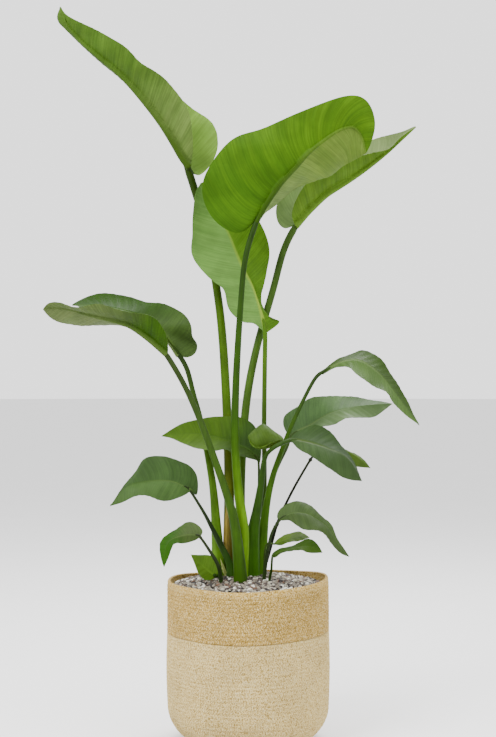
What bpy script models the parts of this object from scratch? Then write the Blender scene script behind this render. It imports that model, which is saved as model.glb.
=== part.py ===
"""A potted bird of paradise in a woven basket.

Metres, +Z up, origin at the centre of the basket's flat underside.

The basket holds a plastic nursery pot full of soil, a layer of stones hides the pot's rim, and seventeen
stems stand in the stones. Each carries one blade, and one of them has a second, cupped blade at its bend.
"""

import math
from itertools import pairwise

import bmesh
import bpy
from mathutils import Vector

BASKET_RADIUS = 0.150
BASKET_HEIGHT = 0.303
BASKET_WALL = 0.007
BASKET_CORNER = 0.070
BASKET_BULGE = 0.0015

POT_TOP_RADIUS = 0.1415
POT_FOOT_RADIUS = 0.100
POT_FOOT_HEIGHT = 0.013  # the pot's foot rests in the rounded corner of the basket
POT_WALL = 0.002
POT_RIM_HEIGHT = 0.276
DRAIN_RADIUS = 0.007
DRAIN_RING = 0.070
DRAIN_COUNT = 5

SOIL_TOP = 0.274
STONES_EDGE = 0.290
STONES_CROWN = 0.311
SOCKET_DEPTH = 0.012
SOCKET_EASE = 1.06  # keeps a socket's flat sides clear of the round stem

GAP = 0.0004  # between pieces that rest on each other
BLADE_THICKNESS = 0.0016
BLADE_ROWS = 9
BLADE_COLUMNS = 6
MERGE = 0.0001  # closes a blade's rows at its base and its tip
ROUND_STEPS = 40
STEM_POINTS = 10
NECK_POINTS = 3  # over which a stem moves to the blade's underside

# Each stem is a route of (x, y, z) from its foot to its blade, with its radius at both ends. Each blade is
# three routes from its base to its tip: the midrib and the left and right margin. "face" is roughly where
# its upper side looks, and "camber" how far each half sags between its midrib and margin, as a share of its
# width.
# The cupped blade has no stem of its own. It grows from the bend of mid_right's stem.
LEAVES = {
    "top_left": {
        "stem": [(-0.036, 0.028, 0), (-0.036, 0.042, 0.448), (-0.039, 0.062, 0.581),
                 (-0.049, 0.084, 0.755), (-0.062, 0.092, 0.863), (-0.084, 0.08, 0.979),
                 (-0.111, 0.047, 1.089)],
        "radius": (0.01, 0.0075),
        "midrib": [(-0.111, 0.045, 1.088), (-0.141, 0.035, 1.139), (-0.171, 0.025, 1.182),
                   (-0.212, 0.01, 1.23), (-0.247, 0, 1.264), (-0.276, -0.01, 1.285),
                   (-0.314, -0.02, 1.317), (-0.337, -0.03, 1.344), (-0.348, -0.035, 1.373)],
        "left": [(-0.105, 0.03, 1.117), (-0.107, 0, 1.169), (-0.118, -0.01, 1.193),
                 (-0.148, -0.02, 1.236), (-0.175, -0.03, 1.256), (-0.205, -0.035, 1.272),
                 (-0.234, -0.04, 1.303), (-0.278, -0.045, 1.326), (-0.332, -0.045, 1.352)],
        "right": [(-0.095, 0.06, 1.071), (-0.068, 0.08, 1.103), (-0.059, 0.095, 1.142),
                  (-0.072, 0.1, 1.184), (-0.114, 0.105, 1.215), (-0.162, 0.095, 1.248),
                  (-0.219, 0.075, 1.287), (-0.275, 0.05, 1.32), (-0.328, 0, 1.331),
                  (-0.357, -0.025, 1.351)],
        "face": (0.6, 0.5, 0.55),
        "camber": (0.1, 0.25),
    },
    "centre": {
        "stem": [(-0.013, -0.024, 0), (-0.008, -0.035, 0.396), (-0.018, -0.04, 0.472),
                 (-0.024, -0.05, 0.566), (-0.022, -0.052, 0.679), (-0.013, -0.055, 0.826),
                 (-0.004, -0.058, 0.909), (0.012, -0.061, 0.97)],
        "radius": (0.01, 0.0052),
        "midrib": [(0.013, -0.055, 0.972), (0.028, -0.06, 0.999), (0.057, -0.07, 1.039),
                   (0.084, -0.078, 1.067), (0.11, -0.083, 1.095), (0.141, -0.085, 1.119),
                   (0.168, -0.085, 1.136), (0.192, -0.08, 1.142), (0.209, -0.072, 1.125),
                   (0.217, -0.065, 1.096)],
        "left": [(-0.018, -0.052, 0.949), (-0.063, -0.048, 0.975), (-0.085, -0.052, 1.023),
                 (-0.074, -0.062, 1.067), (-0.029, -0.075, 1.12), (0.026, -0.082, 1.138),
                 (0.095, -0.09, 1.167), (0.175, -0.09, 1.196), (0.215, -0.085, 1.192),
                 (0.233, -0.075, 1.152), (0.226, -0.068, 1.114)],
        "right": [(0.019, -0.045, 0.973), (0.041, -0.01, 1), (0.066, 0, 1.021), (0.091, 0.005, 1.039),
                  (0.119, 0, 1.054), (0.152, -0.01, 1.059), (0.18, -0.02, 1.081),
                  (0.204, -0.045, 1.09)],
        "face": (-0.4, 0.84, 0.34),
        "camber": (0.05, 0.1),
    },
    "middle": {
        "stem": [(0.023, 0.052, 0), (0.031, 0.05, 0.447), (0.031, 0.05, 0.597), (0.032, 0.047, 0.697),
                 (0.036, 0.047, 0.768)],
        "radius": (0.005, 0.0045),
        "midrib": [(0.035, 0.045, 0.768), (0.023, 0.04, 0.818), (0.011, 0.04, 0.856),
                   (-0.002, 0.04, 0.879), (-0.014, 0.042, 0.902), (-0.027, 0.045, 0.933),
                   (-0.036, 0.047, 0.956), (-0.058, 0.05, 0.997), (-0.077, 0.045, 1.031),
                   (-0.09, 0.035, 1.054)],
        "left": [(0.023, 0.045, 0.776), (0.011, 0.04, 0.787), (-0.011, 0.035, 0.789),
                 (-0.036, 0.03, 0.812), (-0.045, 0.025, 0.849), (-0.065, 0.02, 0.864),
                 (-0.091, 0.015, 0.891), (-0.107, 0.015, 0.921), (-0.106, 0.02, 0.954),
                 (-0.104, 0.025, 0.996), (-0.099, 0.03, 1.037)],
        "right": [(0.046, 0.05, 0.776), (0.064, 0.06, 0.792), (0.046, 0.05, 0.795),
                  (0.031, 0.05, 0.816), (0.025, 0.06, 0.844), (0.035, 0.06, 0.88), (0.042, 0.055, 0.92),
                  (0.035, 0.05, 0.955), (0.013, 0.05, 0.995), (-0.025, 0.05, 1.033),
                  (-0.069, 0.04, 1.059)],
        "face": (0, -1, 0.1),
        "camber": (0.06, 0.06),
    },
    "top_right": {
        "stem": [(-0.013, 0.034, 0), (-0.015, 0.04, 0.448), (-0.01, 0.052, 0.563),
                 (0, 0.062, 0.659), (0.02, 0.075, 0.755), (0.048, 0.078, 0.852),
                 (0.07, 0.078, 0.934), (0.088, 0.074, 0.98)],
        "radius": (0.0095, 0.0072),
        "midrib": [(0.089, 0.07, 0.98), (0.106, 0.07, 1), (0.123, 0.07, 1.017), (0.148, 0.068, 1.039),
                   (0.176, 0.065, 1.056), (0.204, 0.06, 1.073), (0.232, 0.055, 1.092),
                   (0.265, 0.05, 1.117), (0.292, 0.045, 1.14), (0.32, 0.04, 1.164)],
        "left": [(0.085, 0.05, 0.997), (0.094, 0.035, 1.03), (0.122, 0.03, 1.063), (0.166, 0.03, 1.086),
                 (0.198, 0.03, 1.1), (0.237, 0.035, 1.112), (0.272, 0.04, 1.124), (0.299, 0.04, 1.147)],
        "right": [(0.072, 0.08, 0.971), (0.056, 0.095, 0.99), (0.057, 0.11, 1.021),
                  (0.083, 0.125, 1.062), (0.133, 0.135, 1.103), (0.192, 0.13, 1.132),
                  (0.244, 0.115, 1.15), (0.272, 0.095, 1.154), (0.298, 0.065, 1.159)],
        "face": (-0.5, -0.1, 0.85),
        "camber": (0.1, 0.15),
    },
    "left_front": {
        "stem": [(-0.014, -0.05, 0), (-0.022, -0.058, 0.398), (-0.035, -0.066, 0.456),
                 (-0.062, -0.076, 0.536), (-0.09, -0.082, 0.612), (-0.119, -0.085, 0.675),
                 (-0.146, -0.087, 0.728)],
        "radius": (0.0095, 0.005),
        "midrib": [(-0.146, -0.085, 0.728), (-0.179, -0.09, 0.756), (-0.211, -0.09, 0.778),
                   (-0.235, -0.09, 0.787), (-0.268, -0.09, 0.794), (-0.293, -0.088, 0.8),
                   (-0.325, -0.085, 0.809), (-0.353, -0.08, 0.811), (-0.375, -0.078, 0.809)],
        "left": [(-0.145, -0.1, 0.741), (-0.148, -0.115, 0.764), (-0.167, -0.12, 0.79),
                 (-0.208, -0.125, 0.802), (-0.232, -0.125, 0.806), (-0.264, -0.125, 0.815),
                 (-0.29, -0.12, 0.813), (-0.318, -0.11, 0.813), (-0.345, -0.1, 0.82),
                 (-0.364, -0.09, 0.819)],
        "right": [(-0.156, -0.07, 0.734), (-0.191, -0.045, 0.763), (-0.219, -0.04, 0.777),
                  (-0.24, -0.04, 0.779), (-0.286, -0.04, 0.781), (-0.334, -0.045, 0.781),
                  (-0.359, -0.06, 0.791), (-0.371, -0.07, 0.802)],
        "face": (0, 0.5, 0.85),
        "camber": (0.08, 0.05),
    },
    "left_back": {
        "stem": [(-0.055, 0.006, 0), (-0.06, 0.024, 0.393), (-0.069, 0.05, 0.486),
                 (-0.09, 0.052, 0.595), (-0.104, 0.044, 0.649), (-0.117, 0.034, 0.701),
                 (-0.128, 0.022, 0.726)],
        "radius": (0.0095, 0.0048),
        "midrib": [(-0.129, 0.02, 0.726), (-0.144, 0.02, 0.748), (-0.168, 0.025, 0.777),
                   (-0.201, 0.035, 0.8), (-0.245, 0.04, 0.814), (-0.293, 0.045, 0.822),
                   (-0.338, 0.05, 0.823)],
        "left": [(-0.118, 0.03, 0.72), (-0.1, 0.04, 0.728), (-0.096, 0.035, 0.745),
                 (-0.106, 0.015, 0.76), (-0.106, 0, 0.776), (-0.114, 0.01, 0.795), (-0.13, 0.03, 0.81),
                 (-0.159, 0.05, 0.823), (-0.193, 0.065, 0.828), (-0.225, 0.075, 0.839),
                 (-0.275, 0.08, 0.846), (-0.31, 0.075, 0.84), (-0.33, 0.06, 0.83)],
        "right": [(-0.136, 0, 0.731), (-0.156, -0.015, 0.757), (-0.183, -0.02, 0.78),
                  (-0.221, -0.02, 0.795), (-0.259, -0.015, 0.804), (-0.299, 0.01, 0.813)],
        "face": (0.2, -0.6, 0.75),
        "camber": (0.05, 0.05),
    },
    "mid_left": {
        "stem": [(0.01, 0.023, 0), (0.018, 0.018, 0.393), (0.02, 0.012, 0.451),
                 (0.023, -0.004, 0.522)],
        "radius": (0.0028, 0.0022),
        "midrib": [(0.023, -0.005, 0.524), (0.011, 0, 0.539), (-0.002, 0.005, 0.55),
                   (-0.016, 0.008, 0.555), (-0.03, 0.01, 0.563), (-0.05, 0.01, 0.569),
                   (-0.076, 0.008, 0.575), (-0.11, 0.004, 0.578), (-0.138, 0, 0.576),
                   (-0.163, -0.003, 0.573)],
        "left": [(0.025, 0, 0.546), (0.021, 0.008, 0.574), (0.008, 0.015, 0.597), (-0.017, 0.02, 0.608),
                 (-0.042, 0.022, 0.609), (-0.074, 0.02, 0.608), (-0.101, 0.015, 0.602),
                 (-0.129, 0.01, 0.594), (-0.151, 0, 0.581)],
        "right": [(0.013, -0.01, 0.529), (-0.009, -0.02, 0.536), (-0.03, -0.025, 0.542),
                  (-0.042, -0.027, 0.548), (-0.065, -0.027, 0.548), (-0.098, -0.022, 0.551),
                  (-0.118, -0.015, 0.558), (-0.139, -0.008, 0.568)],
        "face": (0, -0.72, 0.7),
        "camber": (0.04, 0.04),
    },
    "mid_right": {
        "stem": [(0.003, -0.002, 0), (0.01, -0.01, 0.393), (0.019, -0.02, 0.448),
                 (0.026, -0.034, 0.496), (0.031, -0.052, 0.535), (0.042, -0.07, 0.551),
                 (0.057, -0.078, 0.561), (0.074, -0.075, 0.569)],
        "radius": (0.0115, 0.004),
        "midrib": [(0.076, -0.07, 0.571), (0.098, -0.078, 0.569), (0.13, -0.088, 0.561),
                   (0.151, -0.092, 0.553), (0.173, -0.094, 0.544), (0.191, -0.092, 0.526),
                   (0.208, -0.088, 0.495)],
        "left": [(0.088, -0.06, 0.582), (0.119, -0.05, 0.596), (0.142, -0.05, 0.59),
                 (0.164, -0.055, 0.571), (0.181, -0.06, 0.548), (0.195, -0.07, 0.528),
                 (0.203, -0.08, 0.509)],
        "right": [(0.081, -0.078, 0.565), (0.095, -0.095, 0.551), (0.116, -0.11, 0.541),
                  (0.143, -0.125, 0.523), (0.163, -0.12, 0.508), (0.188, -0.105, 0.498)],
        "face": (0.2, -0.6, 0.75),
        "camber": (0.04, -0.04),
    },
    "cupped": {
        "midrib": [(0.065, -0.058, 0.566), (0.044, -0.05, 0.558), (0.026, -0.05, 0.553),
                   (0.011, -0.05, 0.557), (0, -0.045, 0.575)],
        "left": [(0.065, -0.05, 0.573), (0.048, -0.035, 0.584), (0.029, -0.025, 0.598),
                 (0.015, -0.028, 0.589), (0.004, -0.038, 0.58)],
        "right": [(0.059, -0.066, 0.569), (0.04, -0.07, 0.563), (0.024, -0.068, 0.555),
                  (0.007, -0.058, 0.557)],
        "face": (0, -0.5, 0.8),
        "camber": (-0.2, -0.1),
    },
    "right_arch": {
        "stem": [(0.023, 0.014, 0), (0.032, 0.012, 0.419), (0.045, 0.01, 0.489), (0.068, 0.004, 0.556),
                 (0.09, -0.003, 0.611), (0.126, -0.01, 0.682), (0.135, -0.012, 0.69)],
        "radius": (0.0085, 0.0035),
        "midrib": [(0.136, -0.012, 0.692), (0.161, -0.018, 0.707), (0.183, -0.022, 0.716),
                   (0.205, -0.028, 0.717), (0.225, -0.034, 0.707), (0.245, -0.04, 0.69),
                   (0.263, -0.046, 0.668), (0.283, -0.052, 0.64), (0.299, -0.056, 0.618),
                   (0.316, -0.06, 0.596)],
        "left": [(0.147, -0.01, 0.703), (0.165, -0.008, 0.715), (0.185, -0.003, 0.724),
                 (0.204, 0, 0.733), (0.219, 0, 0.736), (0.237, -0.005, 0.727), (0.255, -0.015, 0.71),
                 (0.271, -0.025, 0.687), (0.287, -0.035, 0.656), (0.302, -0.045, 0.627)],
        "right": [(0.148, -0.016, 0.694), (0.166, -0.025, 0.703), (0.185, -0.04, 0.704),
                  (0.199, -0.055, 0.69), (0.215, -0.065, 0.679), (0.237, -0.07, 0.666),
                  (0.253, -0.072, 0.656), (0.264, -0.07, 0.641), (0.281, -0.066, 0.624),
                  (0.3, -0.062, 0.607)],
        "face": (0.2, -0.6, 0.8),
        "camber": (0.04, 0.04),
    },
    "right_back": {
        "stem": [(0.026, 0.037, 0), (0.037, 0.036, 0.449), (0.054, 0.032, 0.506), (0.074, 0.033, 0.548),
                 (0.078, 0.036, 0.569)],
        "radius": (0.0034, 0.0028),
        "midrib": [(0.078, 0.035, 0.571), (0.097, 0.032, 0.583), (0.116, 0.03, 0.591),
                   (0.139, 0.027, 0.606), (0.16, 0.025, 0.617), (0.185, 0.025, 0.624),
                   (0.213, 0.025, 0.629), (0.244, 0.028, 0.632), (0.275, 0.03, 0.633)],
        "left": [(0.069, 0.045, 0.586), (0.067, 0.05, 0.599), (0.073, 0.055, 0.613),
                 (0.108, 0.06, 0.635), (0.125, 0.062, 0.644), (0.158, 0.062, 0.648),
                 (0.192, 0.06, 0.647), (0.219, 0.055, 0.642), (0.249, 0.045, 0.639)],
        "right": [(0.092, 0.03, 0.567), (0.114, 0.015, 0.576), (0.136, 0.005, 0.588), (0.162, 0, 0.596),
                  (0.185, 0, 0.606), (0.212, 0.005, 0.607), (0.238, 0.01, 0.609), (0.258, 0.02, 0.62)],
        "face": (-0.1, -0.75, 0.65),
        "camber": (0.04, 0.04),
    },
    "right_low_back": {
        "stem": [(0.03, 0.062, 0), (0.038, 0.062, 0.335), (0.057, 0.061, 0.403), (0.073, 0.06, 0.439),
                 (0.094, 0.056, 0.48), (0.121, 0.051, 0.528)],
        "radius": (0.0026, 0.0023),
        "midrib": [(0.121, 0.05, 0.53), (0.148, 0.048, 0.544), (0.176, 0.045, 0.546),
                   (0.205, 0.04, 0.534), (0.234, 0.035, 0.51)],
        "left": [(0.135, 0.055, 0.547), (0.164, 0.06, 0.554), (0.191, 0.055, 0.544),
                 (0.211, 0.05, 0.533), (0.224, 0.042, 0.524)],
        "right": [(0.138, 0.045, 0.525), (0.168, 0.04, 0.523), (0.195, 0.035, 0.515),
                  (0.214, 0.033, 0.512)],
        "face": (0.2, -0.6, 0.75),
        "camber": (0, 0),
    },
    "low_right": {
        "stem": [(0.03, -0.042, 0), (0.035, -0.05, 0.353), (0.044, -0.06, 0.397),
                 (0.056, -0.067, 0.422)],
        "radius": (0.0036, 0.0022),
        "midrib": [(0.057, -0.067, 0.423), (0.072, -0.072, 0.432), (0.088, -0.076, 0.437),
                   (0.11, -0.08, 0.434), (0.128, -0.084, 0.424), (0.142, -0.087, 0.414),
                   (0.153, -0.09, 0.4), (0.164, -0.092, 0.382), (0.185, -0.092, 0.357)],
        "left": [(0.052, -0.06, 0.423), (0.054, -0.055, 0.433), (0.06, -0.052, 0.442),
                 (0.073, -0.052, 0.45), (0.088, -0.055, 0.455), (0.105, -0.058, 0.454),
                 (0.118, -0.062, 0.448), (0.127, -0.068, 0.437), (0.138, -0.072, 0.426),
                 (0.15, -0.076, 0.418), (0.157, -0.082, 0.407), (0.164, -0.088, 0.389),
                 (0.173, -0.091, 0.375)],
        "right": [(0.061, -0.072, 0.42), (0.074, -0.08, 0.423), (0.087, -0.095, 0.416),
                  (0.103, -0.105, 0.408), (0.121, -0.11, 0.407), (0.133, -0.11, 0.406),
                  (0.142, -0.105, 0.398), (0.149, -0.1, 0.386), (0.16, -0.097, 0.371),
                  (0.171, -0.094, 0.362)],
        "face": (0.1, -0.7, 0.7),
        "camber": (-0.05, -0.08),
    },
    "small_right_upper": {
        "stem": [(0.03, -0.024, 0), (0.033, -0.027, 0.369), (0.045, -0.033, 0.373)],
        "radius": (0.0018, 0.0014),
        "midrib": [(0.047, -0.033, 0.373), (0.063, -0.034, 0.38), (0.08, -0.033, 0.385),
                   (0.097, -0.03, 0.388), (0.115, -0.028, 0.385)],
        "left": [(0.054, -0.028, 0.38), (0.069, -0.022, 0.39), (0.085, -0.018, 0.393),
                 (0.094, -0.017, 0.395), (0.105, -0.02, 0.392)],
        "right": [(0.06, -0.04, 0.372), (0.075, -0.045, 0.378), (0.093, -0.042, 0.38),
                  (0.106, -0.036, 0.383)],
        "face": (0, -0.6, 0.8),
        "camber": (0, 0),
    },
    "small_right_lower": {
        "stem": [(0.04, -0.05, 0), (0.043, -0.065, 0.33), (0.044, -0.087, 0.353)],
        "radius": (0.0022, 0.0018),
        "midrib": [(0.042, -0.088, 0.356), (0.056, -0.092, 0.367), (0.073, -0.096, 0.372),
                   (0.091, -0.1, 0.377), (0.109, -0.103, 0.379), (0.123, -0.105, 0.375),
                   (0.135, -0.106, 0.367)],
        "left": [(0.043, -0.085, 0.362), (0.057, -0.084, 0.372), (0.07, -0.086, 0.375),
                 (0.087, -0.088, 0.378), (0.1, -0.088, 0.388), (0.113, -0.09, 0.391),
                 (0.124, -0.096, 0.384)],
        "right": [(0.049, -0.095, 0.356), (0.061, -0.1, 0.366), (0.075, -0.106, 0.369),
                  (0.086, -0.11, 0.373), (0.097, -0.114, 0.373), (0.107, -0.116, 0.368),
                  (0.12, -0.112, 0.367)],
        "face": (0.1, -0.7, 0.7),
        "camber": (0, 0),
    },
    "low_left": {
        "stem": [(-0.033, -0.01, 0), (-0.036, -0.012, 0.337), (-0.054, -0.016, 0.375),
                 (-0.069, -0.021, 0.405), (-0.084, -0.026, 0.434), (-0.105, -0.032, 0.471)],
        "radius": (0.0026, 0.0022),
        "midrib": [(-0.106, -0.032, 0.473), (-0.12, -0.036, 0.482), (-0.143, -0.04, 0.491),
                   (-0.171, -0.044, 0.492), (-0.198, -0.048, 0.489), (-0.222, -0.051, 0.483),
                   (-0.24, -0.054, 0.466), (-0.255, -0.056, 0.446)],
        "left": [(-0.095, -0.025, 0.46), (-0.093, -0.015, 0.486), (-0.099, -0.01, 0.506),
                 (-0.113, -0.01, 0.52), (-0.133, -0.012, 0.528), (-0.153, -0.016, 0.536),
                 (-0.176, -0.02, 0.537), (-0.196, -0.026, 0.531), (-0.207, -0.035, 0.511),
                 (-0.23, -0.046, 0.485), (-0.246, -0.053, 0.457)],
        "right": [(-0.112, -0.038, 0.468), (-0.131, -0.055, 0.46), (-0.158, -0.07, 0.457),
                  (-0.181, -0.07, 0.465), (-0.205, -0.066, 0.467), (-0.229, -0.062, 0.454)],
        "face": (-0.05, -0.82, 0.55),
        "camber": (-0.05, -0.06),
    },
    "small_left": {
        "stem": [(-0.05, -0.054, 0), (-0.055, -0.075, 0.34), (-0.071, -0.085, 0.369),
                 (-0.086, -0.091, 0.393)],
        "radius": (0.0021, 0.0018),
        "midrib": [(-0.086, -0.091, 0.395), (-0.102, -0.098, 0.399), (-0.121, -0.104, 0.397),
                   (-0.141, -0.107, 0.39), (-0.15, -0.108, 0.374), (-0.152, -0.108, 0.341)],
        "left": [(-0.08, -0.085, 0.403), (-0.093, -0.08, 0.415), (-0.106, -0.078, 0.421),
                 (-0.121, -0.08, 0.415), (-0.139, -0.085, 0.402), (-0.158, -0.09, 0.389),
                 (-0.161, -0.1, 0.373), (-0.157, -0.105, 0.353)],
        "right": [(-0.094, -0.1, 0.389), (-0.116, -0.11, 0.384), (-0.133, -0.115, 0.385),
                  (-0.139, -0.115, 0.374), (-0.144, -0.112, 0.358)],
        "face": (-0.2, -0.6, 0.75),
        "camber": (0, 0),
    },
    "short_left": {
        "stem": [(-0.051, -0.034, 0), (-0.057, -0.047, 0.314)],
        "radius": (0.003, 0.0028),
        "midrib": [(-0.059, -0.05, 0.316), (-0.072, -0.054, 0.326), (-0.085, -0.058, 0.338),
                   (-0.096, -0.062, 0.348), (-0.105, -0.066, 0.358)],
        "left": [(-0.054, -0.045, 0.33), (-0.057, -0.045, 0.347), (-0.072, -0.05, 0.355),
                 (-0.089, -0.056, 0.356)],
        "right": [(-0.067, -0.05, 0.309), (-0.081, -0.054, 0.31), (-0.092, -0.058, 0.323),
                  (-0.098, -0.062, 0.34)],
        "face": (0.1, -0.9, 0.4),
        "camber": (0, 0),
    },
}

# Two dry scales of old leaves stand beside the stems, each a narrow blade of its own.
SCALES = {
    "brown_scale": {
        "midrib": [(-0.038, 0.012, 0.313), (-0.040, 0.015, 0.36), (-0.039, 0.021, 0.42),
                   (-0.037, 0.026, 0.465)],
        "left": [(-0.045, 0.014, 0.320), (-0.047, 0.017, 0.36), (-0.045, 0.025, 0.42)],
        "right": [(-0.031, 0.015, 0.320), (-0.032, 0.019, 0.36), (-0.032, 0.026, 0.42)],
        "face": (0, 1, 0),
        "camber": (0.1, 0.1),
    },
    "pale_scale": {
        "midrib": [(-0.043, -0.024, 0.312), (-0.046, -0.026, 0.325), (-0.052, -0.026, 0.346)],
        "left": [(-0.047, -0.022, 0.316), (-0.050, -0.023, 0.327)],
        "right": [(-0.039, -0.023, 0.316), (-0.042, -0.024, 0.327)],
        "face": (0, 1, 0),
        "camber": (0, 0),
    },
}


def material(name, colour, roughness):
    """A plain Principled material."""
    made = bpy.data.materials.new(name)
    made.use_nodes = True
    shader = made.node_tree.nodes["Principled BSDF"]
    shader.inputs["Base Color"].default_value = (*colour, 1.0)
    shader.inputs["Roughness"].default_value = roughness
    return made


def add_object(name, data, collection, colour=(0.5, 0.5, 0.5), roughness=0.6):
    """Links an object with a material of its own to the collection."""
    made = bpy.data.objects.new(name, data)
    collection.objects.link(made)
    data.materials.append(material(name, colour, roughness))
    return made


def smooth_route(points, count):
    """Points at even steps along a Catmull-Rom curve through the given ones."""
    knots = [Vector(p) for p in points]
    knots = [2 * knots[0] - knots[1], *knots, 2 * knots[-1] - knots[-2]]
    fine = []
    steps = 12
    for i in range(1, len(knots) - 2):
        a, b, c, d = knots[i - 1 : i + 3]
        for k in range(steps):
            u = k / steps
            fine.append(0.5 * (2 * b + (c - a) * u + (2 * a - 5 * b + 4 * c - d) * u**2
                               + (3 * b - a - 3 * c + d) * u**3))
    fine.append(knots[-2])
    lengths = [0.0]
    for a, b in pairwise(fine):
        lengths.append(lengths[-1] + (b - a).length)
    route = []
    k = 0
    for i in range(count):
        wanted = lengths[-1] * i / (count - 1)
        while k < len(fine) - 2 and lengths[k + 1] < wanted:
            k += 1
        share = (wanted - lengths[k]) / (lengths[k + 1] - lengths[k])
        route.append(fine[k].lerp(fine[k + 1], share))
    return route


def blade(name, leaf, collection, colour):
    """A thin closed leaf: a grid laid from the midrib to both margins and given a thickness."""
    base, tip = leaf["midrib"][0], leaf["midrib"][-1]
    spine = smooth_route(leaf["midrib"], BLADE_ROWS + 1)
    margins = [smooth_route([base, *leaf[side], tip], BLADE_ROWS + 1) for side in ("left", "right")]
    face = Vector(leaf["face"])
    mesh = bpy.data.meshes.new(name)
    grid = bmesh.new()
    bmesh.ops.create_grid(grid, x_segments=BLADE_COLUMNS, y_segments=BLADE_ROWS, size=1)
    for vertex in grid.verts:
        row = round((vertex.co.y + 1) / 2 * BLADE_ROWS)
        side = 1 if vertex.co.x > 0 else 0
        reach = abs(vertex.co.x)
        ahead = spine[min(row + 1, BLADE_ROWS)] - spine[max(row - 1, 0)]
        span = margins[side][row] - spine[row]
        up = ahead.cross(span).normalized()
        if up.dot(face) < 0:
            up.negate()
        sag = leaf["camber"][side] * span.length * 4 * reach * (1 - reach)
        vertex.co = spine[row] + span * reach - up * sag
    bmesh.ops.remove_doubles(grid, verts=grid.verts, dist=MERGE)
    grid.to_mesh(mesh)
    grid.free()
    mesh.shade_smooth()
    made = add_object(name, mesh, collection, colour, 0.45)
    thick = made.modifiers.new("thickness", "SOLIDIFY")
    thick.thickness = BLADE_THICKNESS
    thick.offset = 0
    return made


def foot_height(x, y):
    """How high a stem's foot stands: a little above the bottom of its socket in the stones."""
    return stones_height(math.hypot(x, y)) - SOCKET_DEPTH + GAP


def stones_height(radius):
    """The top of the domed layer of stones at a distance from the middle."""
    return STONES_CROWN - (STONES_CROWN - STONES_EDGE) * (radius / BASKET_RADIUS) ** 2


def stem(name, leaf, collection, colour):
    """A tapering tube from the stem's foot to its blade, upright where it stands in its socket."""
    foot_x, foot_y, _ = leaf["stem"][0]
    low = foot_height(foot_x, foot_y)
    start = Vector((foot_x, foot_y, low + SOCKET_DEPTH + 0.002))
    route = [Vector((foot_x, foot_y, low)), *smooth_route([start, *leaf["stem"][1:]], STEM_POINTS)]
    foot_radius, top_radius = leaf["radius"]
    ahead = (Vector(leaf["midrib"][1]) - Vector(leaf["midrib"][0])).normalized()
    face = Vector(leaf["face"])
    under = (face.dot(ahead) * ahead - face).normalized() * (top_radius + BLADE_THICKNESS)
    last = len(route) - 1
    for i in range(last - NECK_POINTS, last + 1):
        share = (i - last + NECK_POINTS) / NECK_POINTS
        route[i] += under * math.sin(share * math.pi / 2)
    curve = bpy.data.curves.new(name, "CURVE")
    curve.dimensions = "3D"
    curve.bevel_depth = 1.0
    curve.bevel_resolution = 2
    curve.use_fill_caps = True
    line = curve.splines.new("POLY")
    line.points.add(len(route) - 1)
    for i, point in enumerate(route):
        share = max(i - 1, 0) / (len(route) - 2)
        line.points[i].co = (*point, 1)
        line.points[i].radius = foot_radius + (top_radius - foot_radius) * min(share * 1.6, 1)
    return add_object(name, curve, collection, colour, 0.5)


def turned(name, profile, collection, colour, roughness=0.7):
    """A turned solid. The profile of (radius, height) runs from the axis over the top to the axis below."""
    mesh = bpy.data.meshes.new(name)
    edges = [(i, i + 1) for i in range(len(profile) - 1)]
    mesh.from_pydata([(radius, 0, height) for radius, height in profile], edges, [])
    made = add_object(name, mesh, collection, colour, roughness)
    screw = made.modifiers.new("turn", "SCREW")
    screw.steps = ROUND_STEPS
    screw.render_steps = ROUND_STEPS
    screw.use_merge_vertices = True
    screw.merge_threshold = 0.00005
    return made


def arc(centre_radius, centre_height, radius, start, stop, count):
    """Points on a round stretch of a profile, between two angles in degrees."""
    points = []
    for i in range(count):
        angle = math.radians(start + (stop - start) * i / (count - 1))
        points.append((centre_radius + radius * math.cos(angle), centre_height + radius * math.sin(angle)))
    return points


def basket_profile():
    """Thick soft walls that bulge a little, a round rim and a round lower corner."""
    inner = BASKET_RADIUS - BASKET_WALL
    corner = BASKET_CORNER
    centre = BASKET_RADIUS - corner
    inside = arc(centre, corner, corner - BASKET_WALL, -90, 0, 8)
    rim = arc(BASKET_RADIUS - BASKET_WALL / 2, BASKET_HEIGHT - BASKET_WALL / 2, BASKET_WALL / 2, 180, 0, 5)
    wall = []
    bulge_rows = 4
    for i in range(1, bulge_rows):
        share = i / bulge_rows
        height = BASKET_HEIGHT + (corner - BASKET_HEIGHT) * share
        wall.append((BASKET_RADIUS + BASKET_BULGE * math.sin(math.pi * share), height))
    outside = arc(centre, corner, corner, 0, -90, 8)
    lip = (inner, BASKET_HEIGHT - BASKET_WALL)
    return [(0, BASKET_WALL), *inside, lip, *rim[1:-1], *wall, *outside, (0, 0)]


def pot_profile():
    """A tapering nursery pot that stands on the basket's floor."""
    foot = POT_FOOT_HEIGHT
    floor = foot + POT_WALL
    return [
        (0, floor),
        (POT_FOOT_RADIUS - POT_WALL, floor),
        (POT_TOP_RADIUS - POT_WALL, POT_RIM_HEIGHT),
        (POT_TOP_RADIUS, POT_RIM_HEIGHT),
        (POT_FOOT_RADIUS, foot),
        (0, foot),
    ]


def soil_profile():
    """The soil fills the pot to just below its rim."""
    floor = POT_FOOT_HEIGHT + POT_WALL + GAP
    slope = (POT_TOP_RADIUS - POT_FOOT_RADIUS) / (POT_RIM_HEIGHT - POT_FOOT_HEIGHT - POT_WALL)
    low = POT_FOOT_RADIUS - POT_WALL - 2 * GAP
    high = low + slope * (SOIL_TOP - floor)
    return [(0, SOIL_TOP), (high, SOIL_TOP), (low, floor), (0, floor)]


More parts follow.
